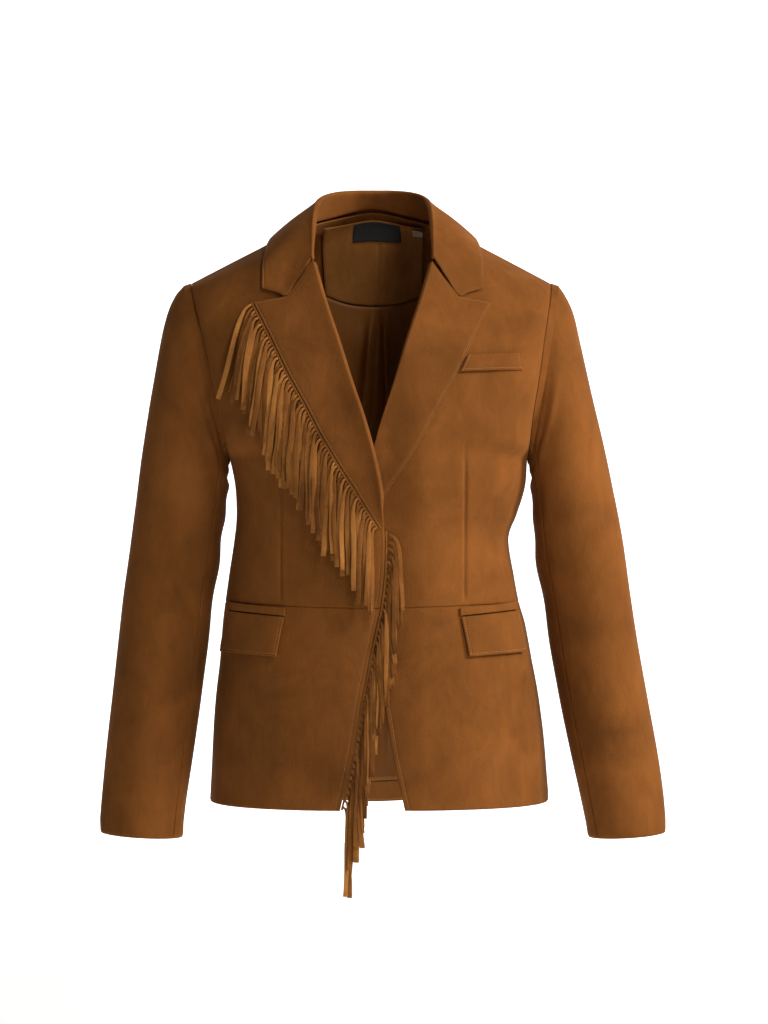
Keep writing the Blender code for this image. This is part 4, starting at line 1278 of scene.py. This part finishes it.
@dataclass(frozen=True)
class Inside:
    """What shows through the neck and below the hem: facings, pleated lining, label and size tag."""

    lining_reach: float = 0.89
    hem_reach: float = 0.93
    facing_reach: float = 0.30
    facing_depth: float = 6.6
    lining_depth: float = 6.4
    hem_depth: float = 3.5
    facing_thick: float = 1.2
    silk: float = 1.0
    pleat: float = 10.0
    pleat_room: float = 0.28
    cleft_at: float = 6.5
    left_fold_at: float = 13.0
    right_fold_at: float = -1.0
    lining_rows: tuple[float, float] = (0.40, 0.03)
    hem_rows: tuple[float, float] = (0.03, 0.39)
    crease_at: float = 6.0
    crease: float = 0.9
    edge_round: float = 1.0
    tape_round: float = 0.6
    row_height: float = 42.0
    label_size: tuple[float, float] = (57.0, 22.0)
    label_at: float = 4.4
    tag_size: tuple[float, float] = (12.0, 14.0)
    tag_at: float = 55.0
    tape_thick: float = 0.8

    def facing_seam(self, share: Grid) -> Grid:
        """The row of the seam between neck facing and lining: lowest in the middle."""
        return 13.72 + 5.9 * np.minimum(np.abs(share), self.facing_reach) ** 2

    def neck(self, share: Grid) -> Grid:
        """The row where the neck facing ends, just under the neck seam."""
        half = FORM.half_width(BACK_ROWS, Side.RIGHT, FORM.nape_row)
        return FORM.neck_row(np.abs(share) * half) - 0.16

    def face(self, low: Callable[[Grid], Grid], high: Callable[[Grid], Grid], size: tuple[int, int],
             reach: float, depth: float) -> Grid:
        """A face inside the back, set in from the back panels.

        Args:
            low: The first row by share of the back's width.
            high: The last row in the same way.
            size: Rows and columns.
            reach: Half the face's width, as a share of the back's.
            depth: How far it lies in from the panels' outer face.

        Returns:
            The face, from the wearer's right to their left.
        """
        spread = np.linspace(-1, 1, size[1])[None, :]
        share = reach * (0.4 * spread + 0.6 * spread ** 3)
        row = low(share) + (high(share) - low(share)) * np.linspace(0, 1, size[0])[:, None]
        halves = []
        for side in Side:
            x = np.abs(share) * FORM.half_width(BACK_ROWS, side, row)
            halves.append(FORM.point(side, x, 2 * FORM.shoulder_row - row, -depth))
        return np.where((share < 0)[..., None], *halves)

    def pleated(self, grid: Grid) -> Grid:
        """The lining with its ease: a box pleat open down the middle, and soft folds beside it.

        Where it is pressed back, a hyperbolic tangent keeps it clear of the back panel."""
        step = np.linspace(0, 1, grid.shape[0])[:, None]
        x, z = grid[..., 0], grid[..., 2]
        held = smooth(14.0 * (1 - step)) * smooth(5.0 * step)
        drop = np.clip((z[-1:] - z) / 100.0, 0.0, 2.5)
        left_fold = bump(x - self.left_fold_at - 2.0 * drop, 3.6)
        right_fold = 1.1 * bump(x - self.right_fold_at + 9.0 * drop, 4.0 + 2.0 * drop)
        cleft = -0.62 * bump(x - self.cleft_at + 4.0 * drop, 2.0 + 2.0 * drop)
        ripple = 0.25 * np.sin(x / 17.0) ** 2 + 0.12 * np.sin(x / 9.0 + z / 30.0)
        ripple = ripple + 0.05 * np.sin(z / 12.0 + x / 14.0)
        moved = grid.copy()
        relief = (left_fold + right_fold + cleft + ripple) * held
        pressed = -self.pleat_room * np.tanh(-relief / self.pleat_room)
        moved[..., 1] -= self.pleat * np.where(relief < 0, pressed, relief)
        return moved

    def ribbon(self, size: tuple[float, float], middle: float, drop: float, gap: float) -> Grid:
        """A label's face, hung before the neck facing.

        Args:
            size: Width and height.
            middle: Distance of its middle from the jacket's, towards the wearer's left.
            drop: How far under the neck seam it starts.
            gap: How far it stands off the facing.

        Returns:
            Its face.
        """
        wide, high = size
        x = middle + np.linspace(-wide / 2, wide / 2, 60)[None, :]
        top = FORM.neck_row(np.abs(x)) - 0.14 - drop / self.row_height
        row = top - np.linspace(1, 0, 30)[:, None] * high / self.row_height
        depth = -self.facing_depth - self.tape_thick - gap
        halves = [FORM.point(side, np.abs(x), 2 * FORM.shoulder_row - row, depth) for side in Side]
        return np.where((x < 0)[..., None], *halves)

    def build(self, finishes: Finishes) -> None:
        """Make the facings, the lining, the label and the tag."""
        rounded = Edges(*(self.edge_round,) * len(EDGE_NAMES))
        grid = self.face(self.facing_seam, self.neck, (60, 90), self.facing_reach, self.facing_depth)
        crease = self.crease * bump(grid[..., 0] - self.crease_at, 2.2)
        crease = crease * smooth(np.linspace(0, 3, 60))[:, None]
        grid[..., 1] += crease * smooth(np.linspace(3, 0, 60))[:, None]
        piece = cloth("back_neck_facing", grid, self.facing_thick, finishes.facing, FORWARD, rounded)
        declare(piece, grid)

        low, under_seam = self.lining_rows
        silk = self.face(lambda share: np.full(share.shape, low),
                         lambda share: self.facing_seam(share) - under_seam,
                         (150, 260), self.lining_reach, self.lining_depth)
        silk = self.pleated(silk)
        piece = cloth("back_lining", silk, self.silk, finishes.satin, FORWARD)
        declare(piece, silk)

        bottom, top = self.hem_rows
        hem = self.face(lambda share: np.full(share.shape, bottom), lambda share: np.full(share.shape, top),
                        (24, 160), self.hem_reach, self.hem_depth)
        piece = cloth("back_hem_facing", hem, self.facing_thick, finishes.facing, FORWARD, rounded)
        declare(piece, hem)

        folded = Edges(*(self.tape_round,) * len(EDGE_NAMES))
        for name, size, middle, drop, gap, material, slot in (
                ("neck_label", self.label_size, self.label_at, 2.0, 1.0, finishes.label, "label_weave"),
                ("size_tag", self.tag_size, self.tag_at, 1.0, 2.9, finishes.tag, "size_tag_tape")):
            grid = self.ribbon(size, middle, drop, gap)
            piece = cloth(name, grid, self.tape_thick, material, FORWARD, folded)
            declare(piece, grid)


@dataclass(frozen=True)
class Fringe:
    """A strip of suede slit into strands, sewn along an edge and left to hang."""

    name: str
    count: int
    level: float
    settle: float
    settle_over: float
    length: float = 100.0
    wide: float = 5.3
    root_share: float = 0.48
    open_over: float = 34.0
    uneven: float = 0.028
    thick: float = 0.8
    strip_start: float = 0.7
    strip_end: float = 3.0
    strip_thick: float = 1.5
    hem_z: float = -631.0
    rings: int = 15
    wander: float = 2.6
    twist: float = 0.42
    splay: float = 0.0
    splay_over: float = 12.0
    seed: int = 3

    def place(self, x: Grid, z: Grid, lift: Grid) -> Grid:
        """A point before the wearer's right front; below the hem it hangs straight down."""
        spot = FORM.on_front(Side.RIGHT, -x, np.maximum(z, self.hem_z), lift)
        spot[..., 2] += np.minimum(z - self.hem_z, 0.0)
        return spot

    def strip(self, edge_x: Grid, edge_z: Grid, out_x: Grid, out_z: Grid) -> tuple[Grid, Grid]:
        """The backing strip: a flat section with rounded corners carried along the edge."""
        turn = np.linspace(0, 2 * np.pi, 12, endpoint=False)
        flat = np.sign(np.cos(turn)) * np.abs(np.cos(turn)) ** 0.6
        rise = np.sign(np.sin(turn)) * np.abs(np.sin(turn)) ** 0.6
        across = (self.strip_start + self.strip_end) / 2 + flat * (self.strip_end - self.strip_start) / 2
        x = edge_x[:, None] + out_x[:, None] * across
        z = edge_z[:, None] + out_z[:, None] * across
        points = self.place(x, z, self.level + rise * self.strip_thick / 2)
        rows, sides = points.shape[:2]
        number = np.arange(rows * sides).reshape(rows, sides)
        beside = np.roll(number, -1, axis=1)
        quads = np.stack([number[:-1], beside[:-1], beside[1:], number[1:]], -1).reshape(-1, 4)
        half = sides // 2
        caps = []
        for ring, order in ((number[0], -1), (number[-1], 1)):
            for step in range(half - 1):
                quad = (ring[step], ring[step + 1], ring[sides - 2 - step], ring[sides - 1 - step])
                caps.append(quad[::order])
        return points.reshape(-1, 3), np.concatenate([quads, np.array(caps)])

    def strands(self, root: Grid, out: Grid, bend: Grid) -> tuple[Grid, Grid]:
        """Every strand: a flat slit of suede that leaves square to the edge, bends over and hangs.

        The path's heading turns from outward to straight down by e to the minus run over bend.

        Args:
            root: Where each starts, as X and height.
            out: The edge's outward direction at each, in the same way.
            bend: The length over which each bends.

        Returns:
            Points and quads.
        """
        dice = np.random.default_rng(self.seed)
        number = np.arange(self.count)[:, None]
        share = np.linspace(0.0, 1.0, self.rings)[None, :] ** 1.25
        uneven = 0.03 * np.sin(number * 2.4) + dice.normal(0, self.uneven, (self.count, 1))
        run = share * self.length * (1 + uneven)
        bend = bend[:, None]
        turn = np.exp(-run / bend)
        aside = bend * (1 - turn)
        sway = self.wander * dice.normal(size=(self.count, 1)) * share ** 1.4
        wave = dice.uniform(9, 17, (self.count, 1))
        curl = 0.8 * np.sin(run / wave + dice.uniform(0, 6.3, (self.count, 1)))
        splay = -self.splay * np.exp(-number / self.splay_over) * run
        x = root[:, :1] + out[:, :1] * aside + sway + curl * share + splay
        z = root[:, 1:] - (run - aside - out[:, 1:] * aside)
        layer = dice.uniform(0.0, 2.0, (self.count, 1)) * (1.8 * smooth(run / 6.0) + 0.014 * run)
        ripple = 0.5 * np.sin(run / 12.0 + dice.uniform(0, 6.3, (self.count, 1))) * share
        lift = self.level + layer + self.settle * smooth(run / self.settle_over) + ripple
        middle = self.place(x, z, lift)
        ahead = np.gradient(middle, axis=1)
        ahead /= np.linalg.norm(ahead, axis=-1, keepdims=True)
        front = FORWARD - ahead * (ahead @ FORWARD)[..., None]
        front /= np.linalg.norm(front, axis=-1, keepdims=True)
        beside = np.cross(ahead, front)
        angle = (self.twist * dice.normal(size=(self.count, 1)) * share ** 1.2)[..., None]
        flat = np.cos(angle) * beside + np.sin(angle) * front
        deep = np.cross(flat, ahead)
        opened = self.root_share + (1 - self.root_share) * smooth(run / self.open_over)
        wide = (self.wide * (1 + dice.normal(0, 0.06, (self.count, 1))) * opened)[..., None] / 2
        corners = ((-1, 0.7), (-0.82, 1), (0.82, 1), (1, 0.7), (1, -0.7), (0.82, -1), (-0.82, -1), (-1, -0.7))
        rings = np.stack([middle + flat * wide * a + deep * self.thick / 2 * b for a, b in corners], 2)
        sides = len(corners)
        number = np.arange(self.count * self.rings * sides).reshape(self.count, self.rings, sides)
        next_side = np.roll(number, -1, axis=2)
        quads = np.stack([number[:, :-1], next_side[:, :-1], next_side[:, 1:], number[:, 1:]], -1)
        quads = quads.reshape(-1, 4)
        caps = []
        for ring, order in ((number[:, 0], -1), (number[:, -1], 1)):
            for step in range(sides // 2 - 1):
                quad = ring[:, [step, step + 1, sides - 2 - step, sides - 1 - step]]
                caps.append(quad[:, ::order])
        return rings.reshape(-1, 3), np.concatenate([quads, *caps])

    def build(self, edge_x: Grid, edge_z: Grid, bends: Sequence[float], finishes: Finishes) -> None:
        """Make the strip and its strands as one piece.

        Args:
            edge_x: The edge that carries it, as X.
            edge_z: The same points' heights.
            bends: Bending lengths, taken in turn or one for each strand.
            finishes: The jacket's materials.
        """
        run_x, run_z = np.gradient(edge_x), np.gradient(edge_z)
        size = np.hypot(run_x, run_z)
        out_x, out_z = run_z / size, -run_x / size
        length = np.concatenate([[0], np.cumsum(np.hypot(np.diff(edge_x), np.diff(edge_z)))])
        starts = (np.arange(self.count) + 0.5) * length[-1] / self.count
        x, z, ax, az = (np.interp(starts, length, values) for values in (edge_x, edge_z, out_x, out_z))
        out = np.stack([ax, az], -1)
        root = np.stack([x, z], -1) + out * (self.strip_end - 0.6)
        spots, faces = self.strip(edge_x, edge_z, out_x, out_z)
        more, quads = self.strands(root, out, np.resize(np.asarray(bends, float), self.count))
        made = add_mesh(self.name + DRESSED, np.concatenate([spots, more]),
                        np.concatenate([faces, quads + len(spots)]), finishes.fringe)
        shades = np.random.default_rng(self.seed + 1).uniform(-0.5, 0.5, self.count)
        shades = np.concatenate([np.zeros(len(spots)), np.repeat(shades, len(more) // self.count)])
        strand = made.data.attributes.new("strand", "FLOAT", "POINT")
        strand.data.foreach_set("value", shades.astype(np.float32))
        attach(made, "root")
        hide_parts(self.name)
        LOG.info("%s: %d strands", self.name, self.count)


def build_fringes(finishes: Finishes) -> None:
    """Fringe the wearer's right lapel from its peak down, and the right front edge below it."""
    number = np.linspace(len(LAPEL_EDGE) - 1, 0.08, 240)
    lapel = Fringe("fringe_lapel", 68, 2.4, 6.0, 60.0, splay=0.14)
    lapel.build(-column(LAPEL_EDGE, "x", number), column(LAPEL_EDGE, "z", number), (9.0, 6.0, 3.5), finishes)
    row = np.linspace(0.02, 7.3, 240)
    x = column(FRONT_ROWS, "inner", row)
    z = FORM.sheet_point(FRONT_ROWS, Side.RIGHT, x, row)[..., 2]
    edge = Fringe("fringe_front_edge", 42, -0.8, 1.5, 30.0, seed=11)
    root = np.interp(np.linspace(0, 1, edge.count), np.linspace(0, 1, len(x)), -x)
    spread = 4.5 + np.maximum(1.4 * np.arange(edge.count) - (root - root[0]), 0.0)
    edge.build(-x, z, spread, finishes)


@dataclass(frozen=True)
class Lamp:
    """A soft box: where it stands, how large it is and how bright."""

    name: str
    at: tuple[float, float, float]
    size: float
    watts: float
    colour: str = "#ffffff"


@dataclass(frozen=True)
class Studio:
    """Camera, soft boxes, and a white floor and backdrop, in metres."""

    distance: float = 3.0
    camera_x: float = 0.0123
    camera_z: float = -0.313
    framed_height: float = 1.1438
    sensor: float = 36.0
    aim: tuple[float, float, float] = (0.0, 0.0, -0.28)
    floor_z: float = -1.15
    stage_half: float = 4.0
    backdrop_y: float = 3.8
    floor_glow: float = 0.38
    backdrop_glow: float = 0.95
    sky: float = 0.06
    lamps: tuple[Lamp, ...] = (
        Lamp("key_soft_box", (2.7, -0.85, 1.15), 0.75, 110.0, "#fffaf2"),
        Lamp("fill_soft_box", (1.3, -2.9, 0.9), 0.6, 17.0),
        Lamp("top_soft_box", (0.9, -1.5, 2.0), 0.7, 24.0),
    )

    def camera(self) -> None:
        """A level camera whose lens frames the photograph's height at the jacket's middle."""
        data = bpy.data.cameras.new("camera")
        data.sensor_width = self.sensor
        data.lens = self.sensor * self.distance / self.framed_height
        made = bpy.data.objects.new("camera", data)
        made.location = (self.camera_x, -self.distance, self.camera_z)
        made.rotation_euler = (np.pi / 2, 0.0, 0.0)
        bpy.context.scene.collection.objects.link(made)
        bpy.context.scene.camera = made

    def light(self) -> None:
        """Aim each soft box at the chest, and set a pale even sky."""
        for lamp in self.lamps:
            data = bpy.data.lights.new(lamp.name, "AREA")
            data.size = lamp.size
            data.energy = lamp.watts
            data.color = linear(lamp.colour)[:3]
            made = bpy.data.objects.new(lamp.name, data)
            made.location = lamp.at
            made.rotation_euler = (Vector(self.aim) - Vector(lamp.at)).to_track_quat("-Z", "Y").to_euler()
            bpy.context.scene.collection.objects.link(made)
        world = bpy.data.worlds.new("studio")
        world.use_nodes = True
        background = world.node_tree.nodes["Background"]
        background.inputs["Color"].default_value = (1.0, 1.0, 1.0, 1.0)
        background.inputs["Strength"].default_value = self.sky
        bpy.context.scene.world = world

    def paper(self, name: str, glow: float) -> bpy.types.Material:
        """White paper that glows a little, so that it reads as white."""
        made, _, shader = blank_material(name)
        shader.inputs["Base Color"].default_value = linear("#f2f2f2")
        shader.inputs["Roughness"].default_value = 0.9
        shader.inputs["Emission Color"].default_value = (1.0, 1.0, 1.0, 1.0)
        shader.inputs["Emission Strength"].default_value = glow
        return made

    def stage(self) -> None:
        """The white floor and the backdrop."""
        half = self.stage_half
        floor = np.array([(-half, -half, self.floor_z), (half, -half, self.floor_z),
                          (half, half, self.floor_z), (-half, half, self.floor_z)])
        top = self.floor_z + half
        drop = np.array([(-half, self.backdrop_y, self.floor_z), (half, self.backdrop_y, self.floor_z),
                         (half, self.backdrop_y, top), (-half, self.backdrop_y, top)])
        whole = np.array([[0, 1, 2, 3]])
        for name, corners, glow in (("floor", floor, self.floor_glow),
                                    ("backdrop", drop, self.backdrop_glow)):
            paper = self.paper(f"{name}_paper", glow)
            add_mesh(name, corners / MILLIMETRE, whole, paper)

    def build(self) -> None:
        """Set up everything that isn't part of the jacket."""
        self.camera()
        self.light()
        self.stage()
        bpy.context.scene.view_settings.view_transform = "Standard"


def main() -> None:
    """Build the jacket's looks around the frame."""
    logging.basicConfig(level=logging.INFO, format="%(name)s: %(message)s")
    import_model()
    Studio().build()
    finishes = make_finishes()
    BodyPanels().build(finishes)
    Sleeves().build(finishes)
    Revers().build(finishes)
    Pockets().build(finishes)
    Inside().build(finishes)
    build_fringes(finishes)


if __name__ == "__main__":
    main()
